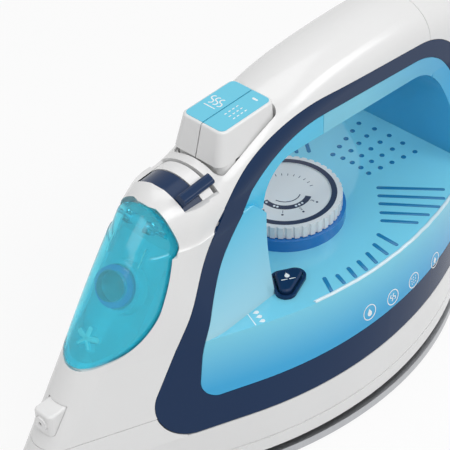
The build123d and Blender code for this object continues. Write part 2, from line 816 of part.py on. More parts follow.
# Front housing: nose, column and handle, with its wells, bores and pockets
pressed_depth = button_travel + running_gap
with BuildPart() as front_housing:
    add(housing.part)
    add(slab(0.0, 200.0, high_x=housing_split_x), mode=Mode.INTERSECT)
    add(door_rebate.part, mode=Mode.SUBTRACT)
    add(door_pocket.part, mode=Mode.SUBTRACT)
    add(lever_room.part, mode=Mode.SUBTRACT)
    add(button_well(button_low - pressed_depth, button_front_low_x, button_rear_x), mode=Mode.SUBTRACT)
    add(button_well(plunger_low - pressed_depth, plunger_front_x, plunger_rear_x), mode=Mode.SUBTRACT)
    add(duct.part, mode=Mode.SUBTRACT)
    with BuildSketch(plug_plane.offset(-neck_bottom_depth)):
        Circle(neck_radius + shaft_clearance)
    extrude(amount=neck_bottom_depth - neck_top_depth, mode=Mode.SUBTRACT)
    with BuildSketch(Plane.XY.offset(pump_low)):
        with Locations((pump_x, pump_y), (pump_x, -pump_y)):
            Circle(pump_radius + shaft_clearance)
    extrude(amount=plunger_low - pump_low, mode=Mode.SUBTRACT)
    with BuildSketch(Plane.XY.offset(deck_level)):
        with Locations((rod_x, 0)):
            Circle(rod_head_radius + running_gap)
    extrude(amount=lever_level - deck_level, mode=Mode.SUBTRACT)
    with BuildSketch(Plane.XY.offset(nozzle_low - tank_clearance)):
        with Locations(((nozzle_front_x + nozzle_rear_x) / 2, 0)):
            Rectangle(
                nozzle_rear_x - nozzle_front_x + 2 * tank_clearance,
                2 * (nozzle_half_width + tank_clearance),
            )
    extrude(amount=nozzle_high - nozzle_low + 2 * tank_clearance, mode=Mode.SUBTRACT)
export(front_housing.part, "front_housing")

# Rear housing: heel, rear column and end of the handle, cut flat to stand on
heel_lean = (heel_high_x - heel_low_x) / (heel_high_level - heel_low_level)
heel_plane = Plane((heel_low_x, 0, heel_low_level), x_dir=(0, 1, 0), z_dir=(1, 0, -heel_lean))
with BuildPart() as rear_housing:
    add(housing.part)
    add(slab(0.0, 200.0, low_x=housing_split_x + seam_gap), mode=Mode.INTERSECT)
    split(bisect_by=heel_plane, keep=Keep.BOTTOM)
    with BuildSketch(gland_plane.offset(-gland_inside)):
        Circle(gland_radius + shaft_clearance)
    extrude(amount=3 * gland_inside, mode=Mode.SUBTRACT)
    with BuildSketch(Plane.XY.offset(terminal_level - terminal_size / 2 - tank_clearance)):
        with Locations((terminal_x, 0)):
            Rectangle(terminal_size + 2 * tank_clearance, terminal_size + 2 * tank_clearance)
    extrude(amount=terminal_size + 2 * tank_clearance, mode=Mode.SUBTRACT)
export(rear_housing.part, "rear_housing")

with BuildPart() as terminal_block:
    with BuildSketch(Plane.XY.offset(terminal_level - terminal_size / 2 - tank_clearance)):
        with Locations((terminal_x, 0)):
            Rectangle(terminal_size, terminal_size)
    extrude(amount=terminal_size)
export(terminal_block.part, "terminal_block")

# Cord gland with an open bore
with BuildPart() as cord_gland:
    with BuildSketch(gland_plane.offset(-gland_inside)):
        Circle(gland_radius)
        Circle(gland_bore_radius, mode=Mode.SUBTRACT)
    extrude(amount=gland_inside + gland_stand)
export(cord_gland.part, "cord_gland")

# Filler door that follows the skin, with hinge ears and the boss of its plug
with BuildPart() as door_skin:
    add(skin)
    add(door_prism(0.0, 2 * door_pocket_depth), mode=Mode.INTERSECT)
    add(trim_core, mode=Mode.SUBTRACT)
with BuildPart() as door_sweep:
    with BuildSketch(hinge_plane):
        with Locations((hinge_reach, 0)):
            Rectangle(2 * hinge_reach, 4 * hinge_reach)
        Circle(hinge_reach, mode=Mode.SUBTRACT)
    extrude(amount=prism_half_width, both=True)
ear_middle = hinge_lug_half_width + running_gap + hinge_ear_width / 2
with BuildPart() as door_ears:
    for ear_side in (1, -1):
        with BuildSketch(hinge_plane.offset(ear_side * ear_middle - hinge_ear_width / 2)):
            Circle(hinge_ear_radius)
            with Locations((0, hinge_depth / 2)):
                Rectangle(2 * hinge_ear_radius, hinge_depth)
        extrude(amount=hinge_ear_width)
    with BuildSketch(plug_plane.offset(-plug_depth)):
        Circle(plug_boss_radius)
    extrude(amount=plug_depth)
    add(skin, mode=Mode.INTERSECT)
with BuildPart() as fill_door:
    add(door_skin.part)
    add(door_sweep.part, mode=Mode.SUBTRACT)
    add(door_ears.part)
    with BuildSketch(hinge_plane):
        Circle(hinge_pin_radius + shaft_clearance)
    extrude(amount=door_half_width, both=True, mode=Mode.SUBTRACT)
export(fill_door.part, "fill_door")

with BuildPart() as door_hinge_pin:
    with BuildSketch(hinge_plane):
        Circle(hinge_pin_radius)
    extrude(amount=ear_middle + hinge_ear_width / 2, both=True)
export(door_hinge_pin.part, "door_hinge_pin")

with BuildPart() as door_plug:
    with BuildSketch(plug_plane.offset(-plug_depth)):
        Circle(plug_radius - plug_taper)
    with BuildSketch(plug_plane.offset(-plug_top_depth)):
        Circle(plug_radius)
    loft()
    with BuildSketch(plug_plane.offset(-plug_depth)):
        Circle(plug_boss_radius + shaft_clearance)
    extrude(amount=plug_depth, mode=Mode.SUBTRACT)
export(door_plug.part, "door_plug")

with BuildPart() as filler_neck:
    with BuildSketch(plug_plane.offset(-neck_bottom_depth)):
        Circle(neck_radius)
        Circle(neck_bore_radius, mode=Mode.SUBTRACT)
    extrude(amount=neck_bottom_depth - neck_top_depth)
    with BuildSketch(plug_plane.offset(-plug_depth - running_gap)):
        Circle(plug_radius + running_gap)
    extrude(amount=plug_depth, mode=Mode.SUBTRACT)
export(filler_neck.part, "filler_neck")

# Steam lever with its tab, trunnions and cam, and the fixed collar beside it
collar_radius = drum_radius + running_gap - shaft_clearance
tab_root = drum_radius - tab_width
tab_top = drum_radius + tab_height
tab_foot = collar_radius + running_gap
with BuildPart() as steam_lever:
    add(lever_cylinder(drum_radius, -drum_half_length, drum_half_length))
    add(lever_cylinder(trunnion_radius - shaft_clearance, -drum_half_length - trunnion_length, cam_end))
    with BuildSketch(lever_plane.offset(cam_start)):
        with Locations((0, cam_throw)):
            Circle(cam_radius)
    extrude(amount=cam_length)
    with BuildSketch(lever_plane.offset(-drum_half_length)):
        with Locations(Location((0, 0), 180 + tab_angle)):
            with Locations((0, (tab_root + tab_top) / 2)):
                RectangleRounded(tab_width, tab_top - tab_root, tab_corner_radius)
    extrude(amount=2 * drum_half_length)
    with BuildSketch(lever_plane.offset(drum_half_length)):
        with Locations(Location((0, 0), 180 + tab_angle)):
            with Locations((0, (tab_foot + tab_top) / 2)):
                RectangleRounded(tab_width, tab_top - tab_foot, tab_corner_radius)
    extrude(amount=slot_end - running_gap - drum_half_length)
export(steam_lever.part, "steam_lever")

with BuildPart() as lever_collar:
    with BuildSketch(lever_plane.offset(collar_start)):
        Circle(collar_radius)
        Circle(trunnion_radius + running_gap, mode=Mode.SUBTRACT)
    extrude(amount=collar_length)
    with BuildSketch(Plane.XY.offset(deck_level)):
        with Locations((rod_x, 0)):
            Circle(rod_head_radius + running_gap)
    extrude(amount=lever_level - deck_level, mode=Mode.SUBTRACT)
export(lever_collar.part, "lever_collar")

# Steam valve: rod below the cam and the seat in the chamber cover
with BuildPart() as valve_rod:
    with BuildSketch(Plane.XY.offset(cover_high)):
        with Locations((rod_x, 0)):
            Circle(rod_radius)
    extrude(amount=rod_top - cover_high)
    with BuildSketch(Plane.XY.offset(rod_top - rod_head_height)):
        with Locations((rod_x, 0)):
            Circle(rod_head_radius)
    extrude(amount=rod_head_height)
export(valve_rod.part, "valve_rod")

with BuildPart() as valve_seat:
    with BuildSketch(Plane.XY.offset(cover_low)):
        with Locations((rod_x, 0)):
            Circle(valve_seat_radius - shaft_clearance)
    extrude(amount=2 * cover_thickness)
    with BuildSketch(Plane.XY.offset(cover_low)):
        with Locations((rod_x, 0)):
            Circle(rod_radius + shaft_clearance)
    extrude(amount=2 * cover_thickness, mode=Mode.SUBTRACT)
export(valve_seat.part, "valve_seat")

# Push buttons, their inlays, and the pump under each
button_foot = button_section(button_low, button_front_low_x, button_rear_x, button_half_width_low)
button_crown = button_section(button_top, button_front_top_x, button_rear_x, button_half_width_top)
plunger_foot = button_section(plunger_low, plunger_front_x, plunger_rear_x, button_half_width_low)
with BuildPart() as button_pair:
    loft(sections=(button_foot, button_crown), ruled=True)
    fillet(button_pair.faces().sort_by(Axis.Z)[-1].edges(), button_edge_radius)
    extrude(plunger_foot, amount=button_low - plunger_low)
with BuildSketch(Plane.XY.offset(button_top - inlay_depth)) as inlay_pair:
    add(button_crown)
    offset(amount=-inlay_rim, mode=Mode.REPLACE)
for button_name, side in (("steam", 1), ("spray", -1)):
    with BuildSketch(Plane.XY.offset(plunger_low)) as button_half:
        with Locations((0, side * (prism_half_width + button_split / 2))):
            Rectangle(4 * prism_half_width, 2 * prism_half_width)
    with BuildSketch(Plane.XY.offset(button_top - inlay_depth)) as inlay_outline:
        add(inlay_pair.sketch)
        with Locations((0, side * (prism_half_width + button_split / 2))):
            Rectangle(4 * prism_half_width, 2 * prism_half_width, mode=Mode.INTERSECT)
    with BuildPart() as button:
        add(button_pair.part)
        extrude(button_half.sketch, amount=2 * (button_top - plunger_low), mode=Mode.INTERSECT)
        extrude(inlay_outline.sketch, amount=inlay_depth, mode=Mode.SUBTRACT)
    export(button.part, f"{button_name}_button")

    with BuildPart() as inlay:
        extrude(inlay_outline.sketch, amount=inlay_depth + inlay_proud)
    export(inlay.part, f"{button_name}_inlay")

    with BuildPart() as piston:
        with BuildSketch(Plane.XY.offset(piston_level)):
            with Locations((pump_x, side * pump_y)):
                Circle(pump_bore_radius - shaft_clearance)
        extrude(amount=piston_length)
        with BuildSketch(Plane.XY.offset(piston_level)):
            with Locations((pump_x, side * pump_y)):
                Circle(piston_rod_radius)
        extrude(amount=plunger_low - piston_level)
    export(piston.part, f"{button_name}_piston")

    with BuildPart() as pump:
        with BuildSketch(Plane.XY.offset(pump_low)):
            with Locations((pump_x, side * pump_y)):
                Circle(pump_radius)
        extrude(amount=pump_high - pump_low)
        with BuildSketch(Plane.XY.offset(pump_low + pump_floor)):
            with Locations((pump_x, side * pump_y)):
                Circle(pump_bore_radius)
        extrude(amount=pump_high - pump_low, mode=Mode.SUBTRACT)
    export(pump.part, f"{button_name}_pump")

    spring_low = pump_low + pump_floor + spring_wire_radius
    spring_length = piston_level - spring_wire_radius - spring_low
    with BuildPart() as spring:
        with BuildLine(Plane((pump_x, side * pump_y, spring_low))) as coil:
            Helix(pitch=spring_length / spring_turns, height=spring_length, radius=spring_radius)
        with BuildSketch(Plane(coil.line @ 0, z_dir=coil.line % 0)):
            RegularPolygon(spring_wire_radius, 6)
        sweep(path=coil.line, is_frenet=True)
    export(spring.part, f"{button_name}_spring")

# Spray nozzle block and its tip
nozzle_plane = Plane((nozzle_front_x, 0, nozzle_tip_level), x_dir=(0, 1, 0), z_dir=(-1, 0, 0))
with BuildPart() as nozzle_body:
    with BuildSketch(Plane.XY.offset(nozzle_low)):
        with Locations(((nozzle_front_x + nozzle_rear_x) / 2, 0)):
            Rectangle(nozzle_rear_x - nozzle_front_x, 2 * nozzle_half_width)
    extrude(amount=nozzle_high - nozzle_low)
    fillet(nozzle_body.edges().filter_by(Axis.Z).group_by(Axis.X)[0], nozzle_fillet)
    fillet(nozzle_body.faces().sort_by(Axis.Z)[-1].edges(), nozzle_fillet / 2)
    with BuildSketch(nozzle_plane):
        Circle(nozzle_tip_radius)
    extrude(amount=-nozzle_tip_depth, mode=Mode.SUBTRACT)
export(nozzle_body.part, "nozzle_body")

with BuildPart() as nozzle_tip:
    with BuildSketch(nozzle_plane.offset(-nozzle_tip_depth)):
        Circle(nozzle_tip_radius - shaft_clearance)
        Circle(nozzle_hole_radius, mode=Mode.SUBTRACT)
    extrude(amount=nozzle_tip_depth + nozzle_tip_stand)
export(nozzle_tip.part, "nozzle_tip")

# Temperature dial with a ribbed rim, on its base, and the shaft to the thermostat
dial_low = deck_level + dial_base_height + running_gap
dial_high = dial_low + dial_height
with BuildPart() as temperature_dial:
    with BuildSketch(Plane.XY.offset(dial_low)):
        with Locations((dial_x, 0)):
            Circle(dial_radius)
            with PolarLocations(dial_radius, dial_rib_count):
                Circle(dial_rib_groove, mode=Mode.SUBTRACT)
    extrude(amount=dial_height)
    with BuildSketch(Plane.XY.offset(dial_high)):
        with Locations((dial_x, 0)):
            Circle(dial_dish_radius)
    extrude(amount=-dial_dish_depth, mode=Mode.SUBTRACT)
    with BuildSketch(Plane.XY.offset(dial_low)):
        with Locations((dial_x, 0)):
            Circle(shaft_radius)
    extrude(amount=shaft_depth_in_dial, mode=Mode.SUBTRACT)
export(temperature_dial.part, "temperature_dial")

with BuildPart() as dial_base:
    with BuildSketch(Plane.XY.offset(deck_level)):
        with Locations((dial_x, 0)):
            Circle(dial_base_radius)
            Circle(shaft_tube_radius, mode=Mode.SUBTRACT)
    extrude(amount=dial_base_height)
export(dial_base.part, "dial_base")

with BuildPart() as dial_shaft:
    with BuildSketch(Plane.XY.offset(thermostat_top - thermostat_socket)):
        with Locations((dial_x, 0)):
            Circle(shaft_radius - shaft_clearance)
    extrude(amount=dial_low + shaft_depth_in_dial - thermostat_top + thermostat_socket)
export(dial_shaft.part, "dial_shaft")

# Self-clean button and its rod
with BuildPart() as self_clean_button:
    extrude(clean_outline.sketch, amount=clean_stand)
    extrude(clean_outline.sketch, amount=clean_stand - clean_length)
    fillet(self_clean_button.faces().sort_by(Axis.Z)[-1].edges(), clean_edge_radius)
export(self_clean_button.part, "self_clean_button")

clean_low = deck_level + clean_stand - clean_length
with BuildPart() as self_clean_rod:
    with BuildSketch(Plane.XY.offset(cover_high + clean_travel)):
        with Locations((clean_x, clean_y)):
            Circle(clean_rod_radius)
    extrude(amount=clean_low - cover_high - clean_travel)
export(self_clean_rod.part, "self_clean_rod")
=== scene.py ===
"""Looks of a steam clothes iron, dressed on its fixed frame and laid out as an add-on.

Nose towards -X, heel towards +X, left side towards -Y. Lengths are metres, and MM is a millimetre in them.
"""
from math import atan2, cos, degrees, pi, radians, sin

import bpy
from mathutils import Matrix, Vector


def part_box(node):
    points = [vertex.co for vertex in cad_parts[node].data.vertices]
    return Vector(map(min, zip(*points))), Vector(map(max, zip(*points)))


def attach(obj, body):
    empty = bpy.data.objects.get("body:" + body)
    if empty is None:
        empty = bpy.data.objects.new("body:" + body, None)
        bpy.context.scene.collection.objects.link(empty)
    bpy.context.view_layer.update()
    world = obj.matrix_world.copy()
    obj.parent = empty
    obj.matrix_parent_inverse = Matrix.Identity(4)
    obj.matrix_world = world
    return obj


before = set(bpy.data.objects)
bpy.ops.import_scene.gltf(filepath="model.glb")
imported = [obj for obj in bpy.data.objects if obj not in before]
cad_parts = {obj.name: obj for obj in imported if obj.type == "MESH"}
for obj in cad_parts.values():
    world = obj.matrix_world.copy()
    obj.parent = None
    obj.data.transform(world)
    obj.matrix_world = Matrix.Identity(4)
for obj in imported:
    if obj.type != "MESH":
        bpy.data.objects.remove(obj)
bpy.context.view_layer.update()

bl_info = {
    "name": "Steam iron looks",
    "version": (1, 0, 0),
    "blender": (4, 5, 0),
    "location": "3D View > Sidebar > Iron",
    "description": "Finishes, printed signs, deck marks and painted shade and studio of a steam iron",
    "category": "Object",
}

MM = 0.001
UP = Vector((0, 0, 1))
WHITE = (1.0, 1.0, 1.0, 1.0)
# Distances below which a place counts as the middle, and two points as one
MIDDLE = 1e-7
MERGED = 1e-6
SMOOTH_ANGLE = radians(35)
# Share of a mark's height that its eased rim takes
EASED_SHARE = 0.45


class IronColours(bpy.types.PropertyGroup):
    """Colours of the iron's plastics, metals and prints."""

    housing: bpy.props.FloatVectorProperty(
        name="Housing", description="White of the housing, skirt, dial and buttons", subtype="COLOR",
        default=(0.80, 0.80, 0.80))
    trim: bpy.props.FloatVectorProperty(
        name="Trim", description="Navy of the trim loops and the lever", subtype="COLOR",
        default=(0.007, 0.029, 0.088))
    tank: bpy.props.FloatVectorProperty(
        name="Tank", description="Tint of the see-through tank", subtype="COLOR",
        default=(0.26, 0.80, 1.0))
    deep: bpy.props.FloatVectorProperty(
        name="Tank, deep", description="Tint of the tank low down and at the heel", subtype="COLOR",
        default=(0.03, 0.47, 0.88))
    panel: bpy.props.FloatVectorProperty(
        name="Tank, front panel", description="Tint of the pale front panel", subtype="COLOR",
        default=(0.48, 0.86, 1.0))
    strip: bpy.props.FloatVectorProperty(
        name="Lining strip", description="Tint of the lining below the handle", subtype="COLOR",
        default=(0.07, 0.68, 1.0))
    # Pale tints of the bead along the deck's edges, which is a painted highlight of the edges' reflection
    # line
    rim: bpy.props.FloatVectorProperty(
        name="Deck rim highlight", description="Tint of the bead at its nose end", subtype="COLOR",
        default=(0.80, 0.95, 1.0))
    rim_deep: bpy.props.FloatVectorProperty(
        name="Deck rim highlight, deep", description="Tint of the bead at its heel end", subtype="COLOR",
        default=(0.70, 0.92, 1.0))
    door: bpy.props.FloatVectorProperty(
        name="Filler door", description="Tint of the see-through door", subtype="COLOR",
        default=(0.11, 0.84, 1.0))
    # The catch's pale white is a painted highlight on the catch and ribs inside the door
    catch: bpy.props.FloatVectorProperty(
        name="Door catch", description="White of the catch and ribs inside the door", subtype="COLOR",
        default=(0.72, 0.84, 0.86))
    inlay: bpy.props.FloatVectorProperty(
        name="Inlays", description="Light blue of the button inlays", subtype="COLOR",
        default=(0.13, 0.58, 0.77))
    base: bpy.props.FloatVectorProperty(
        name="Dial base", description="Blue of the ring below the dial", subtype="COLOR",
        default=(0.015, 0.17, 0.50))
    # The deck marks' dark blue is partly painted shade of the deck's grooves, on real slots and dots
    marks: bpy.props.FloatVectorProperty(
        name="Deck marks", description="Blue of the slots and dots on the deck", subtype="COLOR",
        default=(0.02, 0.28, 0.60))
    print_white: bpy.props.FloatVectorProperty(
        name="White print", description="White of the printed signs", subtype="COLOR",
        default=(0.86, 0.90, 0.92))
    print_navy: bpy.props.FloatVectorProperty(
        name="Navy print", description="Navy of the printed scale", subtype="COLOR",
        default=(0.010, 0.022, 0.065))
    sole: bpy.props.FloatVectorProperty(
        name="Sole", description="Grey of the metal sole", subtype="COLOR",
        default=(0.50, 0.51, 0.53))
    shield: bpy.props.FloatVectorProperty(
        name="Heat shield", description="Black of the heat shield and the inner plastics", subtype="COLOR",
        default=(0.012, 0.012, 0.014))
    steel: bpy.props.FloatVectorProperty(
        name="Steel", description="Grey of the screws, springs and rods", subtype="COLOR",
        default=(0.55, 0.55, 0.56))
    brass: bpy.props.FloatVectorProperty(
        name="Brass", description="Yellow of the valve seat", subtype="COLOR",
        default=(0.62, 0.44, 0.16))
    ceramic: bpy.props.FloatVectorProperty(
        name="Ceramic", description="Cream of the thermal fuse", subtype="COLOR",
        default=(0.75, 0.73, 0.68))
    seal: bpy.props.FloatVectorProperty(
        name="Seals", description="Blue of the rubber plug and gasket", subtype="COLOR",
        default=(0.002, 0.10, 0.46))


class IronSizes(bpy.types.PropertyGroup):
    """Sizes of the prints and of the marks on the deck."""

    print_height: bpy.props.FloatProperty(
        name="Print height", description="How far a print stands on its surface", unit="LENGTH",
        default=0.06 * MM)
    dot_radius: bpy.props.FloatProperty(
        name="Dot radius", description="Radius of a dot of the deck's fan", unit="LENGTH",
        default=1.1 * MM)
    dot_rows: bpy.props.IntProperty(
        name="Dot rows", description="Rows of the deck's fan, and dots in a row", default=5, min=2)
    dot_first_ring: bpy.props.FloatProperty(
        name="First ring", description="Distance of the first row from the dial's axis", unit="LENGTH",
        default=43 * MM)
    dot_ring_step: bpy.props.FloatProperty(
        name="Ring step", description="Distance between rows of the fan", unit="LENGTH",
        default=6.2 * MM)
    slot_width: bpy.props.FloatProperty(
        name="Slot width", description="Width of a slot on the deck", unit="LENGTH",
        default=1.7 * MM)
    mark_height: bpy.props.FloatProperty(
        name="Mark height", description="How far a deck mark stands on the deck", unit="LENGTH",
        default=0.25 * MM)
    # The bead along the deck's edge is a painted highlight of its reflection line
    bead_radius: bpy.props.FloatProperty(
        name="Bead radius", description="Radius of the bead along the deck's edge", unit="LENGTH",
        default=0.8 * MM)
    cover_proud: bpy.props.FloatProperty(
        name="Cover height", description="How far a trim cover stands on the trim", unit="LENGTH",
        default=0.1 * MM)
    ring_inner: bpy.props.FloatProperty(
        name="Ring, inside", description="Inner radius of the ring on the dial", unit="LENGTH",
        default=18.7 * MM)
    ring_outer: bpy.props.FloatProperty(
        name="Ring, outside", description="Outer radius of the ring on the dial", unit="LENGTH",
        default=21.0 * MM)


class Shade:
    """A shader socket that takes part in Python arithmetic."""

    def __init__(self, nodes, socket):
        self.nodes = nodes
        self.socket = socket

    def maths(self, operation, first, second):
        """One Math node on two values."""
        return self.nodes.node("ShaderNodeMath", {"operation": operation}, {0: first, 1: second})

    def __add__(self, other):
        return self.maths("ADD", self, other)

    def __radd__(self, other):
        return self.maths("ADD", other, self)

    def __mul__(self, other):
        return self.maths("MULTIPLY", self, other)

    def __rmul__(self, other):
        return self.maths("MULTIPLY", other, self)


class Nodes:
    """A node tree whose nodes all come from one method."""

    def __init__(self, tree):
        self.tree = tree

    def node(self, kind, settings, values, output=0):
        """Add a node, set it up, fill its sockets, and hand back one output."""
        made = self.tree.nodes.new(kind)
        for key, value in settings.items():
            setattr(made, key, value)
        for key, value in values.items():
            self.fill(made.inputs[key], value)
        return Shade(self, made.outputs[output])

    def fill(self, socket, value):
        """Link a socket to a shade, or give it a plain value."""
        if isinstance(value, Shade):
            self.tree.links.new(value.socket, socket)
        else:
            socket.default_value = value

    def seen(self):
        """1 on rays from the camera, also mirrored or through clear plastic, and 0 on other light."""
        seen = 0.0
        for kind in ("Is Camera Ray", "Is Glossy Ray", "Is Transmission Ray"):
            path = self.node("ShaderNodeLightPath", {}, {}, kind)
            seen = self.node("ShaderNodeMath", {"operation": "MAXIMUM"}, {0: path, 1: seen})
        return seen


class Finish(Nodes):
    """One procedural material, on the coordinates of the piece that wears it."""

    # Sockets of a Mix node that belong to its colours
    mix_factor = 0
    mix_first = 6
    mix_second = 7
    mix_result = 2

    def __init__(self, name):
        self.material = bpy.data.materials.new(name)
        self.material.use_nodes = True
        super().__init__(self.material.node_tree)
        self.shader = self.tree.nodes["Principled BSDF"]
        self.place = self.node("ShaderNodeTexCoord", {}, {}, "Object")

    def noise(self, scale, detail, by_axis=(1.0, 1.0, 1.0)):
        """Soft noise on the piece's own coordinates, with a scale and a share of it for each axis."""
        place = self.node("ShaderNodeMapping", {}, {"Vector": self.place, "Scale": by_axis})
        return self.node("ShaderNodeTexNoise", {}, {"Vector": place, "Scale": scale, "Detail": detail})

    def blend(self, factor, first, second):
        """Colour between two colours."""
        values = {self.mix_factor: factor, self.mix_first: (*first, 1.0), self.mix_second: (*second, 1.0)}
        return self.node("ShaderNodeMix", {"data_type": "RGBA"}, values, self.mix_result)

    def varied(self, factor, colour, darker, lighter):
        """A colour that goes from a darker to a lighter share of itself."""
        return self.blend(factor, shifted(colour, darker), shifted(colour, lighter))

    def feed(self, **values):
        """Fill the shader's sockets, by name with underscores for spaces."""
        for key, value in values.items():
            self.fill(self.shader.inputs[key.replace("_", " ")], value)

    def bump(self, height, distance, strength):
        """Relief of a surface, fed to its normal."""
        relief = self.node(
            "ShaderNodeBump", {}, {"Height": height, "Distance": distance, "Strength": strength})
        self.feed(Normal=relief)


def shifted(colour, factor):
    """A colour made lighter or darker."""
    return tuple(min(1.0, channel * factor) for channel in colour)


def moulded(name, colour, rough=0.22, coat=0.35, grain=0.06, bend=1.5):
    """Moulded plastic: faint flow marks, uneven gloss and a fine surface."""
    finish = Finish(name)
    flow = finish.noise(scale=18.0, detail=3.0, by_axis=(1.0, 1.0, 0.4))
    speck = finish.noise(scale=900.0, detail=2.0)
    finish.feed(
        Base_Color=finish.varied(flow, colour, darker=0.955, lighter=1.03),
        Roughness=rough - 0.04 + flow * 0.08 + speck * 0.03,
        Coat_Weight=coat, Coat_Roughness=0.08, IOR=bend)
    finish.bump(speck, distance=0.03 * MM, strength=grain)


def clear(name, pale, deep, way, start, end, rough, through):
    """Tinted see-through plastic with faint flow marks.

    The tint goes from pale to deep along one axis, between two places on it in millimetres.
    """
    finish = Finish(name)
    flow = finish.noise(scale=14.0, detail=2.0, by_axis=(1.0, 0.5, 1.0))
    ripple = finish.noise(scale=60.0, detail=1.0)
    along = finish.node("ShaderNodeSeparateXYZ", {}, {"Vector": finish.place}, way)
    depth = finish.node(
        "ShaderNodeMapRange", {}, {"Value": along, "From Min": start * MM, "From Max": end * MM})
    finish.feed(
        Base_Color=finish.blend(depth * 0.9 + flow * 0.1, pale, deep),
        Roughness=rough + flow * 0.05,
        Transmission_Weight=through, IOR=1.46)
    finish.bump(ripple, distance=0.06 * MM, strength=0.12)


def printed(name, colour):
    """Flat ink with a slightly uneven cover."""
    finish = Finish(name)
    cover = finish.noise(scale=700.0, detail=2.0)
    finish.feed(
        Base_Color=finish.varied(cover, colour, darker=0.9, lighter=1.05),
        Roughness=0.34 + cover * 0.12)


def metal(name, colour, rough, by_axis):
    """Worked metal with fine lines, which run across the axis with the largest scale."""
    finish = Finish(name)
    lines = finish.noise(scale=160.0, detail=3.0, by_axis=by_axis)
    finish.feed(
        Base_Color=finish.varied(lines, colour, darker=0.86, lighter=1.08),
        Roughness=rough - 0.05 + lines * 0.16, Metallic=1.0)
    finish.bump(lines, distance=0.04 * MM, strength=0.15)


def rubbery(name, colour):
    """Matt rubber with a bloom."""
    finish = Finish(name)
    bloom = finish.noise(scale=120.0, detail=4.0)
    finish.feed(
        Base_Color=finish.varied(bloom, colour, darker=1.0, lighter=1.35),
        Roughness=0.55 + bloom * 0.2)
    finish.bump(bloom, distance=0.05 * MM, strength=0.2)


def colours():
    """The colours that the scene holds."""
    return bpy.context.scene.iron_colours


def sizes():
    """The sizes that the scene holds."""
    return bpy.context.scene.iron_sizes


def deck_level():
    """Height of the tank's deck, on which the dial's base ring stands."""
    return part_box("dial_base")[0].z


def clear_choice():
    """Nothing selected, in object mode."""
    if bpy.context.object and bpy.context.object.mode != "OBJECT":
        bpy.ops.object.mode_set(mode="OBJECT")
    bpy.ops.object.select_all(action="DESELECT")


def pick(pieces):
    """Select some pieces and nothing else, the first of them active."""
    clear_choice()
    for piece in pieces:
        piece.select_set(True)
    bpy.context.view_layer.objects.active = pieces[0]


def choose(piece, test):
    """Select the vertices that pass a test, and open the piece for editing."""
    bpy.ops.object.mode_set(mode="EDIT")
    bpy.ops.mesh.select_mode(type="VERT")
    bpy.ops.mesh.select_all(action="DESELECT")
    bpy.ops.object.mode_set(mode="OBJECT")
    for vertex in piece.data.vertices:
        vertex.select = test(vertex.co)
    bpy.ops.object.mode_set(mode="EDIT")


def apply_place():
    """Put a picked piece's place, turn and scale into its mesh."""
    bpy.ops.object.transform_apply(location=True, rotation=True, scale=True)


def face_outwards():
    """Turn all faces of the piece in edit mode outwards, and leave that mode."""
    bpy.ops.mesh.select_all(action="SELECT")
    bpy.ops.mesh.normals_make_consistent(inside=False)
    bpy.ops.object.mode_set(mode="OBJECT")


def settle(piece, place=(0, 0, 0), turn=0.0, tilt=None):
    """Put a piece in its place for good, turned in degrees about Z, and on tilted axes if any are given."""
    pick([piece])
    spin = Matrix.Rotation(radians(turn), 4, "Z")
    lean = tilt.to_4x4() if tilt else Matrix.Identity(4)
    piece.matrix_world = Matrix.Translation(Vector(place)) @ lean @ spin @ piece.matrix_world
    apply_place()
    return piece


def copied(mark):
    """A copy of a mark, with its own mesh."""
    pick([mark])
    bpy.ops.object.duplicate()
    return bpy.context.object


def spread(mark, places):
    """A mark and its copies, one at each place."""
    others = [settle(copied(mark), place) for place in places[1:]]
    return [settle(mark, places[0])] + others


def fanned(mark, turns):
    """A mark and its copies, one at each turn about the origin in degrees."""
    others = [settle(copied(mark), turn=turn) for turn in turns[1:]]
    return [settle(mark, turn=turns[0])] + others


def laid(pieces, place, axes):
    """Put the pieces of one sign on their surface."""
    return [settle(piece, place, tilt=axes) for piece in pieces]


def joined(pieces, name, body, material):
    """Join marks into one named piece that rides on a body."""
    pick(pieces)
    if len(pieces) > 1:
        bpy.ops.object.join()
    whole = bpy.context.object
    bpy.ops.object.shade_smooth_by_angle(angle=SMOOTH_ANGLE)
    whole.name = name
    whole.data.name = name
    whole.data.materials.clear()
    whole.data.materials.append(bpy.data.materials[material])
    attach(whole, body)


def landing(node, start, aim):
    """Place and outward normal where a straight line from a start in millimetres meets a rigid piece."""
    met, place, normal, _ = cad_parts[node].ray_cast(Vector(start) * MM, Vector(aim))
    if not met:
        raise RuntimeError("no surface of " + node + " on that line")
    return place, normal


def lie(normal, upward):
    """Axes of a sign that lies on a surface with its top towards a given way."""
    side = Vector(upward).cross(normal).normalized()
    return Matrix((side, normal.cross(side), normal)).transposed()


def around(radius, angle):
    """Place on a circle about the origin, at an angle in degrees."""
    return Vector((radius * cos(radians(angle)), radius * sin(radians(angle)), 0))


def disc(radius, height, sides):
    """A flat round mark on the ground plane, its upper rim eased."""
    clear_choice()
    bpy.ops.mesh.primitive_cylinder_add(
        vertices=sides, radius=radius, depth=height, location=(0, 0, height / 2))
    piece = bpy.context.object
    apply_place()
    choose(piece, lambda co: co.z > height / 2)
    bpy.ops.mesh.bevel(offset=EASED_SHARE * height, segments=2)
    bpy.ops.object.mode_set(mode="OBJECT")
    return piece


def bar(length, width, height, sides=8):
    """A round-ended bar along +X from the origin: a disc with one half drawn out."""
    piece = disc(width / 2, height, sides)
    choose(piece, lambda co: co.x > MIDDLE)
    bpy.ops.transform.translate(value=(length, 0, 0))
    bpy.ops.object.mode_set(mode="OBJECT")
    return piece


def line(length, width, height, level=0.0):
    """A round-ended bar along X with its middle at a level along Y."""
    return settle(bar(length, width, height), (-length / 2, level, 0))


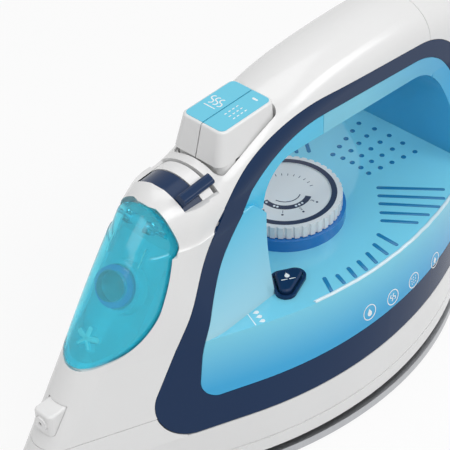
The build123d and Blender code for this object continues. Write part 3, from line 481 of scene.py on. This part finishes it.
def drop(radius, height, level=0.0):
    """A water drop at a level along Y with its tip towards +Y: a disc whose upper rim is drawn out."""
    rim = 0.6 * radius
    reach = 0.9 * radius
    tip = 0.12
    piece = disc(radius, height, sides=16)
    choose(piece, lambda co: co.y > rim)
    bpy.ops.transform.translate(value=(0, reach, 0))
    bpy.ops.transform.resize(value=(tip, 1, 1), center_override=(0, radius, 0))
    bpy.ops.object.mode_set(mode="OBJECT")
    return settle(piece, (0, level, 0))


def band(inner, outer, height, start, end, steps=48):
    """A flat curved band about the origin between two angles in degrees."""
    clear_choice()
    bpy.ops.mesh.primitive_plane_add(size=1, location=(0, 0, 0), rotation=(pi / 2, 0, 0))
    piece = bpy.context.object
    piece.scale = (outer - inner, height, 1)
    piece.location = ((inner + outer) / 2, 0, height / 2)
    apply_place()
    bpy.ops.object.mode_set(mode="EDIT")
    bpy.ops.mesh.select_all(action="SELECT")
    if end - start >= 360:
        # A full ring has no end faces
        bpy.ops.mesh.delete(type="ONLY_FACE")
        bpy.ops.mesh.select_all(action="SELECT")
    bpy.ops.mesh.spin(steps=steps, angle=radians(start - end), center=(0, 0, 0), axis=(0, 0, 1))
    bpy.ops.mesh.select_all(action="SELECT")
    bpy.ops.mesh.remove_doubles(threshold=MERGED)
    face_outwards()
    return settle(piece, turn=start)


def wave(radius, width, height):
    """An upright S of two half rings about the origin, as a sign of steam."""
    inner = radius - width / 2
    outer = radius + width / 2
    low = settle(band(inner, outer, height, -90, 90, steps=10), (0, -radius, 0))
    high = settle(band(inner, outer, height, 90, 270, steps=10), (0, radius, 0))
    return [low, high]


def waves(radius, width, height, places):
    """Like waves at several places."""
    return [piece for half in wave(radius, width, height) for piece in spread(half, places)]


def dashes(columns, rows, pitch, length, width, height):
    """A block of short upright dashes about the origin, as a sign of spray."""
    places = []
    for row in range(rows):
        for column in range(columns):
            places.append(((column - (columns - 1) / 2) * pitch, (row - (rows - 1) / 2) * pitch, 0))
    return spread(settle(bar(length, width, height), turn=90), places)


def numeral(number, size, height):
    """A plain printed number about the origin, made a mesh."""
    clear_choice()
    bpy.ops.object.text_add()
    piece = bpy.context.object
    piece.data.body = str(number)
    piece.data.size = size
    piece.data.extrude = height / 2
    piece.data.align_x = "CENTER"
    piece.data.align_y = "CENTER"
    piece.data.resolution_u = 3
    bpy.ops.object.convert(target="MESH")
    return settle(bpy.context.object, (0, 0, height / 2))


class IRON_OT_finishes(bpy.types.Operator):
    """Make the finishes and put them on the iron's rigid pieces"""

    bl_idname = "iron.finishes"
    bl_label = "Finishes"

    worn_by = {
        "housing white": ("front_housing", "rear_housing", "skirt", "lever_collar", "nozzle_body",
                          "nozzle_tip", "temperature_dial", "steam_button", "spray_button", "filler_neck"),
        "trim navy": ("trim_left", "trim_right", "steam_lever", "self_clean_button"),
        "tank clear": ("tank_shell",),
        "rear clear": ("liner_rear",),
        "liner clear": ("liner_front",),
        "tank floor": ("tank_floor",),
        "door clear": ("fill_door",),
        "inlay blue": ("steam_inlay", "spray_inlay"),
        "base blue": ("dial_base",),
        "shield black": ("heat_shield", "cord_gland", "terminal_block", "self_clean_rod", "dial_shaft",
                         "steam_pump", "spray_pump", "steam_piston", "spray_piston"),
        "sole metal": ("soleplate", "chamber_cover"),
        "bright steel": ("cover_screws", "door_hinge_pin", "heating_element", "steam_spring",
                         "spray_spring", "thermostat", "valve_rod"),
        "valve brass": ("valve_seat",),
        "fuse ceramic": ("thermal_fuse",),
        "seal rubber": ("chamber_gasket", "door_plug"),
    }
    # Scales of the metals' lines by axis: along the sole, and round upright pieces
    lines_lengthwise = (1.0, 30.0, 1.0)
    lines_round = (1.0, 1.0, 12.0)

    def execute(self, context):
        self.plastics(colours())
        self.clear_plastics(colours())
        self.metals_and_prints(colours())
        for name, nodes in self.worn_by.items():
            for node in nodes:
                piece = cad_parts[node]
                piece.data.materials.clear()
                piece.data.materials.append(bpy.data.materials[name])
        return {"FINISHED"}

    def plastics(self, tint):
        """Solid plastics, the ceramic and the rubber."""
        moulded("housing white", tint.housing)
        moulded("trim navy", tint.trim, rough=0.16, coat=0.0, grain=0.03, bend=1.3)
        # Pale white of the door's catch and ribs, a painted highlight
        moulded("catch white highlight", tint.catch, rough=0.25)
        moulded("inlay blue", tint.inlay, rough=0.3, coat=0.2)
        moulded("base blue", tint.base, rough=0.2)
        moulded("shield black", tint.shield, rough=0.45, coat=0.0, grain=0.15)
        moulded("fuse ceramic", tint.ceramic, rough=0.5, coat=0.0)
        rubbery("seal rubber", tint.seal)

    def clear_plastics(self, tint):
        """See-through plastics: tank, lining, marks with painted shade, painted highlight bead, door."""
        dark_door = shifted(tint.door, 0.95)
        deeper_mark_shade = shifted(tint.marks, 0.8)
        clear("tank clear", tint.tank, tint.deep, way="Z", start=66.0, end=46.0, rough=0.05, through=0.22)
        clear("liner clear", tint.panel, tint.strip, way="Z", start=66.0, end=104.0, rough=0.05, through=0.22)
        # The pale bead along the deck's edges, a painted highlight
        clear("rim highlight clear", tint.rim, tint.rim_deep, way="X", start=-20.0, end=100.0, rough=0.06, through=0.2)
        clear("rear clear", tint.tank, tint.deep, way="X", start=40.0, end=105.0, rough=0.05, through=0.3)
        clear("tank floor", tint.tank, tint.deep, way="X", start=-40.0, end=110.0, rough=0.2, through=0.2)
        clear("door clear", tint.door, dark_door, way="Z", start=70.0, end=118.0, rough=0.04, through=0.78)
        # Deck marks: their dark blue is partly painted shade of the grooves
        clear("deck marks and painted shade", tint.marks, deeper_mark_shade, way="X", start=-20.0, end=100.0, rough=0.15, through=0.25)

    def metals_and_prints(self, tint):
        """Metals, and the two inks."""
        metal("sole metal", tint.sole, rough=0.3, by_axis=self.lines_lengthwise)
        metal("bright steel", tint.steel, rough=0.25, by_axis=self.lines_round)
        metal("valve brass", tint.brass, rough=0.25, by_axis=self.lines_round)
        printed("print white", tint.print_white)
        printed("print navy", tint.print_navy)


class IRON_OT_deck_dots(bpy.types.Operator):
    """Set the fan of round dots on the deck behind the dial"""

    bl_idname = "iron.deck_dots"
    bl_label = "Deck dots"

    # Half of the fan's angle, in degrees
    half_fan = 13.0

    def execute(self, context):
        size = sizes()
        low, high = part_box("dial_base")
        axis = Vector(((low.x + high.x) / 2, 0, low.z))
        places = []
        for row in range(size.dot_rows):
            ring = size.dot_first_ring + row * size.dot_ring_step
            for step in range(size.dot_rows):
                angle = self.half_fan * (2 * step / (size.dot_rows - 1) - 1)
                places.append(axis + around(ring, angle))
        dots = spread(disc(size.dot_radius, size.mark_height, sides=16), places)
        # The dots wear the dark blue that is partly painted shade
        joined(dots, "deck_dots", "iron", "deck marks and painted shade")
        return {"FINISHED"}


class IRON_OT_deck_slots(bpy.types.Operator):
    """Set the long slots and the short edge slots on both sides of the deck"""

    bl_idname = "iron.deck_slots"
    bl_label = "Deck slots"

    # Inner and outer end of each slot on one half of the deck, in millimetres
    long_slots = (
        ((52.0, 18.7), (68.5, 39.4)), ((48.2, 22.3), (64.0, 43.0)), ((44.5, 25.8), (58.4, 44.8)),
        ((40.3, 29.7), (51.5, 44.6)), ((36.6, 33.1), (44.6, 44.2)))
    short_slots = (
        ((28.8, 37.3), (28.7, 46.4)), ((23.0, 39.9), (21.9, 46.9)), ((17.0, 41.2), (15.2, 46.9)),
        ((11.0, 41.6), (9.4, 46.6)), ((5.3, 41.2), (3.5, 46.0)), ((-0.7, 40.6), (-2.2, 45.0)),
        ((-5.3, 37.9), (-9.1, 44.6)))

    def execute(self, context):
        size = sizes()
        slots = []
        for side in (1, -1):
            for start, end in self.long_slots + self.short_slots:
                run = Vector((end[0] - start[0], side * (end[1] - start[1]))) * MM
                piece = bar(run.length, size.slot_width, size.mark_height, sides=12)
                spot = (start[0] * MM, side * start[1] * MM, deck_level())
                slots.append(settle(piece, spot, turn=degrees(atan2(run.y, run.x))))
        # The slots wear the dark blue that is partly painted shade of their grooves
        joined(slots, "deck_slots", "iron", "deck marks and painted shade")
        return {"FINISHED"}


class IRON_OT_dial_print(bpy.types.Operator):
    """Print the ring, the scale with its numbers, and the white dots on the temperature dial"""

    bl_idname = "iron.dial_print"
    bl_label = "Dial print"

    # Sizes of the prints in the dial's dish, with angles in degrees
    dish_depth = 0.5 * MM
    thick_arc = (8.5 * MM, 10.9 * MM)
    thick_span = (-195, -64)
    thin_arc = (6.0 * MM, 6.4 * MM)
    thin_span = (-175, -62)
    tick_size = (1.1 * MM, 0.34 * MM)
    tick_turns = [60 - 12.5 * step for step in range(8)]
    off_angle = -176
    number_angles = (-143, -108, -75)
    number_ring = 12.3 * MM
    number_size = 2.2 * MM
    dot_ring = 14.2 * MM
    dot_radius = 0.5 * MM
    white_angles = (-188, -165, -157, -112, -103, -94)
    white_ring = 9.7 * MM
    white_radius = 0.52 * MM

    def execute(self, context):
        size = sizes()
        ink = size.print_height
        low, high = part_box("temperature_dial")
        top = Vector(((low.x + high.x) / 2, 0, high.z))
        dish = top - UP * self.dish_depth
        ring = settle(band(size.ring_inner, size.ring_outer, ink, 0, 360, steps=72), top)
        joined([ring], "dial_ring", "dial", "print navy")
        scale = [settle(piece, dish) for piece in self.arcs(ink) + self.ticks(ink)]
        dot_angles = (self.off_angle, *self.number_angles)
        dot_places = [dish + around(self.dot_ring, angle) for angle in dot_angles]
        scale += spread(disc(self.dot_radius, ink, sides=12), dot_places)
        for number, angle in enumerate(self.number_angles, start=1):
            place = dish + around(self.number_ring, angle)
            scale += laid([numeral(number, self.number_size, ink)], place, lie(UP, -around(1, angle)))
        joined(scale, "dial_scale", "dial", "print navy")
        on_arc = dish + UP * ink / 2
        white_places = [on_arc + around(self.white_ring, angle) for angle in self.white_angles]
        dots = spread(disc(self.white_radius, ink, sides=12), white_places)
        joined(dots, "dial_dots", "dial", "print white")
        return {"FINISHED"}

    def arcs(self, ink):
        """The thick and the thin arc, about the origin."""
        return [band(*self.thick_arc, ink, *self.thick_span), band(*self.thin_arc, ink, *self.thin_span)]

    def ticks(self, ink):
        """The ticks beside the thick arc, about the origin."""
        tick = settle(bar(*self.tick_size, ink, sides=6), (self.thick_arc[1], 0, 0))
        return fanned(tick, self.tick_turns)


class IRON_OT_button_signs(bpy.types.Operator):
    """Print the steam sign and the spray sign on the push buttons"""

    bl_idname = "iron.button_signs"
    bl_label = "Button signs"

    # How far the signs sit from an inlay's middle towards the nose
    set_off = 1.5 * MM
    pitch = 2.1 * MM
    stroke = 0.5 * MM
    wave_level = 0.8 * MM

    def lay(self, sign, inlay):
        """Lay a sign on an inlay, its top towards the heel."""
        low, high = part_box(inlay)
        middle = (low + high) / 2
        return laid(sign, (middle.x - self.set_off, middle.y, high.z), lie(UP, (1, 0, 0)))

    def execute(self, context):
        ink = sizes().print_height
        places = [(self.pitch * step, self.wave_level, 0) for step in (-1, 0, 1)]
        steam = waves(radius=1.15 * MM, width=self.stroke, height=ink, places=places)
        steam.append(line(length=5.0 * MM, width=0.55 * MM, height=ink, level=-3.2 * MM))
        steam = self.lay(steam, "steam_inlay")
        joined(steam, "steam_sign", "steam_push", "print white")
        spray = dashes(
            columns=3, rows=4, pitch=self.pitch, length=0.75 * MM, width=self.stroke, height=ink)
        spray.append(line(length=1.6 * MM, width=1.1 * MM, height=ink, level=11.0 * MM))
        spray = self.lay(spray, "spray_inlay")
        joined(spray, "spray_sign", "spray_push", "print white")
        return {"FINISHED"}


class IRON_OT_tank_signs(bpy.types.Operator):
    """Print four working signs on the wall of the tank and the fill mark on its top"""

    bl_idname = "iron.tank_signs"
    bl_label = "Tank signs"

    # Place along X and height of each sign, and the start of the lines that find the wall, in millimetres
    spots = ((5.7, 49.3), (19.4, 48.3), (33.6, 47.4), (50.5, 45.7))
    outside = -90.0
    ring = (3.1 * MM, 3.5 * MM)
    stroke = 0.4 * MM
    # Point above the fill mark in millimetres, and the way that its top looks
    mark_above = (-38.0, -33.0, 90.0)
    mark_top = (-0.93, 0.36, 0)

    def execute(self, context):
        ink = sizes().print_height
        rings = spread(band(*self.ring, ink, 0, 360, steps=32), [(0, 0, 0)] * len(self.spots))
        signs = []
        for (along, level), ring, sign in zip(self.spots, rings, self.signs(ink)):
            place, normal = landing("tank_shell", (along, self.outside, level), (0, 1, 0))
            signs += laid([ring] + sign, place, lie(normal, UP))
        joined(signs, "tank_signs", "iron", "print white")
        place, normal = landing("tank_shell", self.mark_above, -UP)
        mark = laid(self.fill_mark(ink), place, lie(normal, self.mark_top))
        joined(mark, "level_mark", "iron", "print white")
        return {"FINISHED"}

    def signs(self, ink):
        """What stands in the four rings: water, steam, spray, and water above a line."""
        water = [drop(radius=1.2 * MM, height=ink, level=-0.6 * MM)]
        places = [(-0.8 * MM, 0, 0), (0.9 * MM, 0, 0)]
        steam = waves(radius=0.7 * MM, width=self.stroke, height=ink, places=places)
        spray = dashes(
            columns=3, rows=3, pitch=1.3 * MM, length=self.stroke, width=self.stroke, height=ink)
        lined = [drop(radius=1.0 * MM, height=ink, level=-0.2 * MM)]
        lined.append(line(length=2.6 * MM, width=self.stroke, height=ink, level=-1.9 * MM))
        return water, steam, spray, lined

    def fill_mark(self, ink):
        """A line with three drops below it."""
        pitch = 2.6 * MM
        mark = [line(length=7.0 * MM, width=self.stroke, height=ink, level=3.0 * MM)]
        one = drop(radius=0.9 * MM, height=ink, level=-0.4 * MM)
        return mark + spread(one, [(-pitch, 0, 0), (0, 0, 0), (pitch, 0, 0)])


class IRON_OT_deck_rim(bpy.types.Operator):
    """Run a clear bead along both long edges of the deck as a painted highlight of their reflection line"""

    bl_idname = "iron.deck_rim"
    bl_label = "Deck rim highlight"

    # Stations along X, and the search for the edge from outside and above, in millimetres and counts
    stations = range(-18, 91, 4)
    outermost = 62.0
    inward = 0.25
    tries = 240
    above = 20.0
    slack = 0.3
    sides = 10

    def edge(self, along):
        """Distance of the deck's edge from the middle, found by stepping inwards."""
        deck = deck_level()
        for step in range(self.tries):
            across = (self.outermost - self.inward * step) * MM
            start = Vector((along * MM, -across, deck + self.above * MM))
            met, place, _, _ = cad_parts["tank_shell"].ray_cast(start, -UP)
            if met and place.z > deck - self.slack * MM:
                return across
        raise RuntimeError("no edge of the deck at " + str(along))

    def execute(self, context):
        bead = sizes().bead_radius
        route = [(along * MM, self.edge(along) - bead) for along in self.stations]
        beads = []
        for side in (-1, 1):
            clear_choice()
            bpy.ops.mesh.primitive_circle_add(
                vertices=self.sides, radius=bead, fill_type="NGON", rotation=(0, pi / 2, 0),
                location=(route[0][0], side * route[0][1], deck_level()))
            beads.append(bpy.context.object)
            apply_place()
            bpy.ops.object.mode_set(mode="EDIT")
            bpy.ops.mesh.select_all(action="SELECT")
            for before, after in zip(route, route[1:]):
                step = (after[0] - before[0], side * (after[1] - before[1]), 0)
                bpy.ops.mesh.extrude_region_move(TRANSFORM_OT_translate={"value": step})
            face_outwards()
        # Both beads together: a painted highlight along the deck's edges
        joined(beads, "deck_rim", "iron", "rim highlight clear")
        return {"FINISHED"}


class IRON_OT_trim_cover(bpy.types.Operator):
    """Cover the step of each trim loop below the hood with a smooth plate"""

    bl_idname = "iron.trim_cover"
    bl_label = "Trim covers"

    # Corner of the loop's run up the column and the way of that run, as X and Z, in millimetres
    corner = (-44.0, 90.7)
    run = (0.728, 0.686)
    # Distances across the loop, heights of the plate's rows, and the rows between which it is straight
    widths = (0.3, 2.8, 5.3, 7.8, 10.2)
    levels = (111.2, 110.4, 109.0, 107.6, 106.2, 104.8, 103.2, 102.2, 101.2)
    upper = 1
    lower = 6
    # Distance from the middle at which the lines that find the loop start, in millimetres
    outside = 40.0
    thickness = 0.5 * MM
    # Share of its height that is left at the plate's ends
    thin_end = 0.2

    def spot(self, level, width):
        """Place along X of the point at a height and at a distance across the loop."""
        length = (level - self.corner[1] - self.run[0] * width) / self.run[1]
        return self.corner[0] + self.run[0] * length - self.run[1] * width

    def depth(self, side, level, width):
        """Distance of the loop's face from the middle at one point."""
        node = "trim_left" if side < 0 else "trim_right"
        place, _ = landing(node, (self.spot(level, width), side * self.outside, level), (0, -side, 0))
        return abs(place.y)

    def reach(self, side, row, width):
        """Distance of the plate's face from the middle: straight over the step, on the loop beyond it."""
        proud = sizes().cover_proud
        top, bottom = self.levels[self.upper], self.levels[self.lower]
        if self.upper <= row <= self.lower:
            high, low = self.depth(side, top, width), self.depth(side, bottom, width)
            return high + (low - high) * (top - self.levels[row]) / (top - bottom) + proud
        at_end = row in (0, len(self.levels) - 1)
        return self.depth(side, self.levels[row], width) + proud * (self.thin_end if at_end else 1)

    def execute(self, context):
        covers = []
        for side in (-1, 1):
            clear_choice()
            bpy.ops.mesh.primitive_grid_add(
                x_subdivisions=len(self.widths) - 1, y_subdivisions=len(self.levels) - 1, size=MM)
            piece = bpy.context.object
            apply_place()
            for row, level in enumerate(self.levels):
                for column, width in enumerate(self.widths):
                    out = side * self.reach(side, row, width)
                    vertex = piece.data.vertices[row * len(self.widths) + column]
                    vertex.co = (self.spot(level, width) * MM, out, level * MM)
            bpy.ops.object.mode_set(mode="EDIT")
            bpy.ops.mesh.select_all(action="SELECT")
            inwards = (0, -side * self.thickness, 0)
            bpy.ops.mesh.extrude_region_move(TRANSFORM_OT_translate={"value": inwards})
            face_outwards()
            covers.append(piece)
        joined(covers, "trim_covers", "iron", "trim navy")
        return {"FINISHED"}


class IRON_OT_clean_bezel(bpy.types.Operator):
    """Frame the self-clean button with a rounded triangular bezel"""

    bl_idname = "iron.clean_bezel"
    bl_label = "Self-clean bezel"

    # Middles of the three round corners on the deck, in millimetres
    corners = ((-16.97, -25.98), (-12.2, -28.88), (-21.0, -31.73))
    hole_radius = 3.1 * MM
    outer_radius = 4.3 * MM
    height = 1.4 * MM
    # How far the cutter goes below and above the deck
    cutter = (-2 * MM, 4 * MM)
    eased = 0.35 * MM
    eased_from = radians(50)

    def prism(self, radius, low, high):
        """An upright prism with three round corners: three round posts in one tight skin."""
        posts = []
        for x, y in self.corners:
            clear_choice()
            bpy.ops.mesh.primitive_cylinder_add(
                vertices=32, radius=radius, depth=high - low, location=(x * MM, y * MM, (low + high) / 2))
            posts.append(bpy.context.object)
        pick(posts)
        bpy.ops.object.join()
        apply_place()
        bpy.ops.object.mode_set(mode="EDIT")
        bpy.ops.mesh.select_all(action="SELECT")
        bpy.ops.mesh.convex_hull()
        bpy.ops.object.mode_set(mode="OBJECT")
        return bpy.context.object

    def execute(self, context):
        deck = deck_level()
        hole = self.prism(self.hole_radius, deck + self.cutter[0], deck + self.cutter[1])
        bezel = self.prism(self.outer_radius, deck, deck + self.height)
        cut = bezel.modifiers.new("hole", "BOOLEAN")
        cut.operation = "DIFFERENCE"
        cut.object = hole
        bpy.ops.object.modifier_apply(modifier="hole")
        ease = bezel.modifiers.new("ease", "BEVEL")
        ease.width = self.eased
        ease.segments = 2
        ease.angle_limit = self.eased_from
        bpy.ops.object.modifier_apply(modifier="ease")
        bpy.data.objects.remove(hole)
        joined([bezel], "clean_bezel", "iron", "trim navy")
        return {"FINISHED"}


class IRON_OT_clean_sign(bpy.types.Operator):
    """Print a drop and two lines on the self-clean button"""

    bl_idname = "iron.clean_sign"
    bl_label = "Self-clean sign"

    # Distance from the button's end at the nose, place across the deck, and the way that the sign's top looks
    from_end = 7.4 * MM
    across = -28.2 * MM
    top = (0.55, 0.83, 0)
    line_offset = 1.6 * MM

    def execute(self, context):
        ink = sizes().print_height
        low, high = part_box("self_clean_button")
        place = (low.x + self.from_end, self.across, high.z)
        sign = [drop(radius=1.0 * MM, height=ink)]
        one = line(length=2.2 * MM, width=0.4 * MM, height=ink, level=-1.9 * MM)
        sign += spread(one, [(-self.line_offset, 0, 0), (self.line_offset, 0, 0)])
        sign = laid(sign, place, lie(UP, self.top))
        joined(sign, "clean_sign", "clean_push", "print white")
        return {"FINISHED"}


class IRON_OT_door_ribs(bpy.types.Operator):
    """Mould the star-shaped catch and the two stiffening ribs inside the filler door, pale as painted
    highlights
    """

    bl_idname = "iron.door_ribs"
    bl_label = "Door ribs"

    # Ways that the door's face and its upper end look
    outward = Vector((-0.803, 0, 0.596))
    upward = (0.596, 0, 0.803)
    # Points under the skin at the catch and at the right rib, in millimetres; sizes as length, width, height
    catch_under = (-80.5, 0.0, 64.5)
    rib_under = (-59.0, 7.0, 93.0)
    catch_arm = (3.6 * MM, 3.2 * MM, 2.4 * MM)
    catch_turns = [90 + 72 * arm for arm in range(5)]
    catch_sunk = 2.3 * MM
    rib_size = (7.0 * MM, 0.8 * MM, 1.6 * MM)
    rib_sunk = 1.5 * MM

    def lay(self, pieces, under, sunk):
        """Lay pieces against the inner side of the door's skin, above a point under it."""
        place, _ = landing("fill_door", under, self.outward)
        return laid(pieces, place - self.outward * sunk, lie(self.outward, self.upward))

    def execute(self, context):
        star = fanned(bar(*self.catch_arm), self.catch_turns)
        catch = self.lay(star, self.catch_under, self.catch_sunk)
        # The pale catch is a painted highlight in the door's tip
        joined(catch, "door_catch_highlight", "door", "catch white highlight")
        x, y, z = self.rib_under
        ribs = []
        for side in (-1, 1):
            rib = settle(line(*self.rib_size), turn=90)
            ribs += self.lay([rib], (x, side * y, z), self.rib_sunk)
        # The pale ribs are painted highlights inside the door
        joined(ribs, "door_ribs", "door", "catch white highlight")
        return {"FINISHED"}


class IRON_OT_stage(bpy.types.Operator):
    """Set the pale floor, the soft lights, the sky and the camera"""

    bl_idname = "iron.stage"
    bl_label = "Stage"

    floor_size = 12.0
    floor_grey = (0.85, 0.85, 0.85, 1.0)
    floor_glow = 0.88
    lamps = (
        {"name": "top", "place": (0.15, 0.2, 1.1), "aim": (0.0, 0.0, 0.06), "size": 0.9, "power": 2.6},
        {"name": "key", "place": (-0.2, -0.66, 0.95), "aim": (0.0, 0.0, 0.06), "size": 0.7, "power": 4.4},
        {"name": "nose", "place": (-0.8, 0.1, 0.6), "aim": (-0.05, 0.0, 0.08), "size": 0.5, "power": 1.2},
        {"name": "edge", "place": (0.55, -0.66, 0.8), "aim": (0.02, 0.0, 0.06), "size": 0.5, "power": 2.2})
    # A lamp's breadth as a share of its length, and the sky's strength as light and as it is seen
    lamp_shape = 0.7
    sky_falling = 0.32
    sky_seen = 1.0
    # Place of the camera, and the ways to its right and ahead of it
    eye = Vector((-0.3956, -0.3569, 0.5175))
    right = Vector((0.656, -0.755, 0.0))
    ahead = Vector((0.5865, 0.5099, -0.6293))
    lens = 140
    sensor = 36
    # Side of the photograph and the shift of its middle, in pixels
    photo_side = 450
    photo_shift = (-60, -34)

    def execute(self, context):
        self.floor()
        for lamp in self.lamps:
            self.light(**lamp)
        self.world()
        self.camera()
        return {"FINISHED"}

    def floor(self):
        """A matt floor that looks almost evenly white to the camera."""
        clear_choice()
        bpy.ops.mesh.primitive_plane_add(size=self.floor_size, location=(0, 0, 0))
        floor = bpy.context.object
        floor.name = "floor"
        finish = Finish("floor white")
        finish.feed(Base_Color=self.floor_grey, Roughness=0.9)
        matt = Shade(finish, finish.shader.outputs[0])
        glow = finish.node("ShaderNodeEmission", {}, {"Color": WHITE, "Strength": 1.0})
        share = finish.seen() * self.floor_glow
        both = finish.node("ShaderNodeMixShader", {}, {0: share, 1: matt, 2: glow})
        finish.fill(finish.tree.nodes["Material Output"].inputs["Surface"], both)
        floor.data.materials.append(finish.material)

    def light(self, name, place, aim, size, power):
        """One soft lamp that looks at a point."""
        clear_choice()
        bpy.ops.object.light_add(type="AREA", location=place)
        lamp = bpy.context.object
        lamp.name = name
        lamp.data.shape = "RECTANGLE"
        lamp.data.size = size
        lamp.data.size_y = size * self.lamp_shape
        lamp.data.energy = power
        lamp.rotation_euler = (Vector(aim) - Vector(place)).to_track_quat("-Z", "Y").to_euler()

    def world(self):
        """A white sky that gives less light than the camera sees in it."""
        world = bpy.context.scene.world or bpy.data.worlds.new("studio")
        bpy.context.scene.world = world
        world.use_nodes = True
        nodes = Nodes(world.node_tree)
        sky = nodes.tree.nodes["Background"]
        values = {"Value": nodes.seen(), "To Min": self.sky_falling, "To Max": self.sky_seen}
        nodes.fill(sky.inputs["Color"], WHITE)
        nodes.fill(sky.inputs["Strength"], nodes.node("ShaderNodeMapRange", {}, values, "Result"))

    def camera(self):
        """The photograph's view."""
        clear_choice()
        bpy.ops.object.camera_add(location=self.eye)
        camera = bpy.context.object
        right = self.right.normalized()
        ahead = self.ahead.normalized()
        axes = Matrix((right, right.cross(ahead), -ahead)).transposed()
        camera.matrix_world = Matrix.Translation(self.eye) @ axes.to_4x4()
        camera.data.lens = self.lens
        camera.data.sensor_width = self.sensor
        camera.data.shift_x = self.photo_shift[0] / self.photo_side
        camera.data.shift_y = self.photo_shift[1] / self.photo_side
        bpy.context.scene.camera = camera
        bpy.context.scene.view_settings.view_transform = "Standard"


class IRON_PT_looks(bpy.types.Panel):
    """Steps that dress the iron, in order"""

    bl_label = "Steam iron"
    bl_idname = "IRON_PT_looks"
    bl_space_type = "VIEW_3D"
    bl_region_type = "UI"
    bl_category = "Iron"

    def draw(self, context):
        for step in steps:
            self.layout.operator(step.bl_idname)
        for group in (context.scene.iron_colours, context.scene.iron_sizes):
            for key in group.__annotations__:
                self.layout.prop(group, key)


steps = (
    IRON_OT_finishes, IRON_OT_deck_dots, IRON_OT_deck_slots, IRON_OT_dial_print, IRON_OT_button_signs,
    IRON_OT_tank_signs, IRON_OT_deck_rim, IRON_OT_trim_cover, IRON_OT_clean_bezel, IRON_OT_clean_sign,
    IRON_OT_door_ribs, IRON_OT_stage)
classes = (IronColours, IronSizes) + steps + (IRON_PT_looks,)


def register():
    for kind in classes:
        bpy.utils.register_class(kind)
    bpy.types.Scene.iron_colours = bpy.props.PointerProperty(type=IronColours)
    bpy.types.Scene.iron_sizes = bpy.props.PointerProperty(type=IronSizes)


def unregister():
    del bpy.types.Scene.iron_sizes
    del bpy.types.Scene.iron_colours
    for kind in reversed(classes):
        bpy.utils.unregister_class(kind)


def main():
    register()
    bpy.ops.iron.finishes()
    bpy.ops.iron.deck_dots()
    bpy.ops.iron.deck_slots()
    bpy.ops.iron.dial_print()
    bpy.ops.iron.button_signs()
    bpy.ops.iron.tank_signs()
    bpy.ops.iron.deck_rim()
    bpy.ops.iron.trim_cover()
    bpy.ops.iron.clean_bezel()
    bpy.ops.iron.clean_sign()
    bpy.ops.iron.door_ribs()
    bpy.ops.iron.stage()


if __name__ == "__main__":
    main()
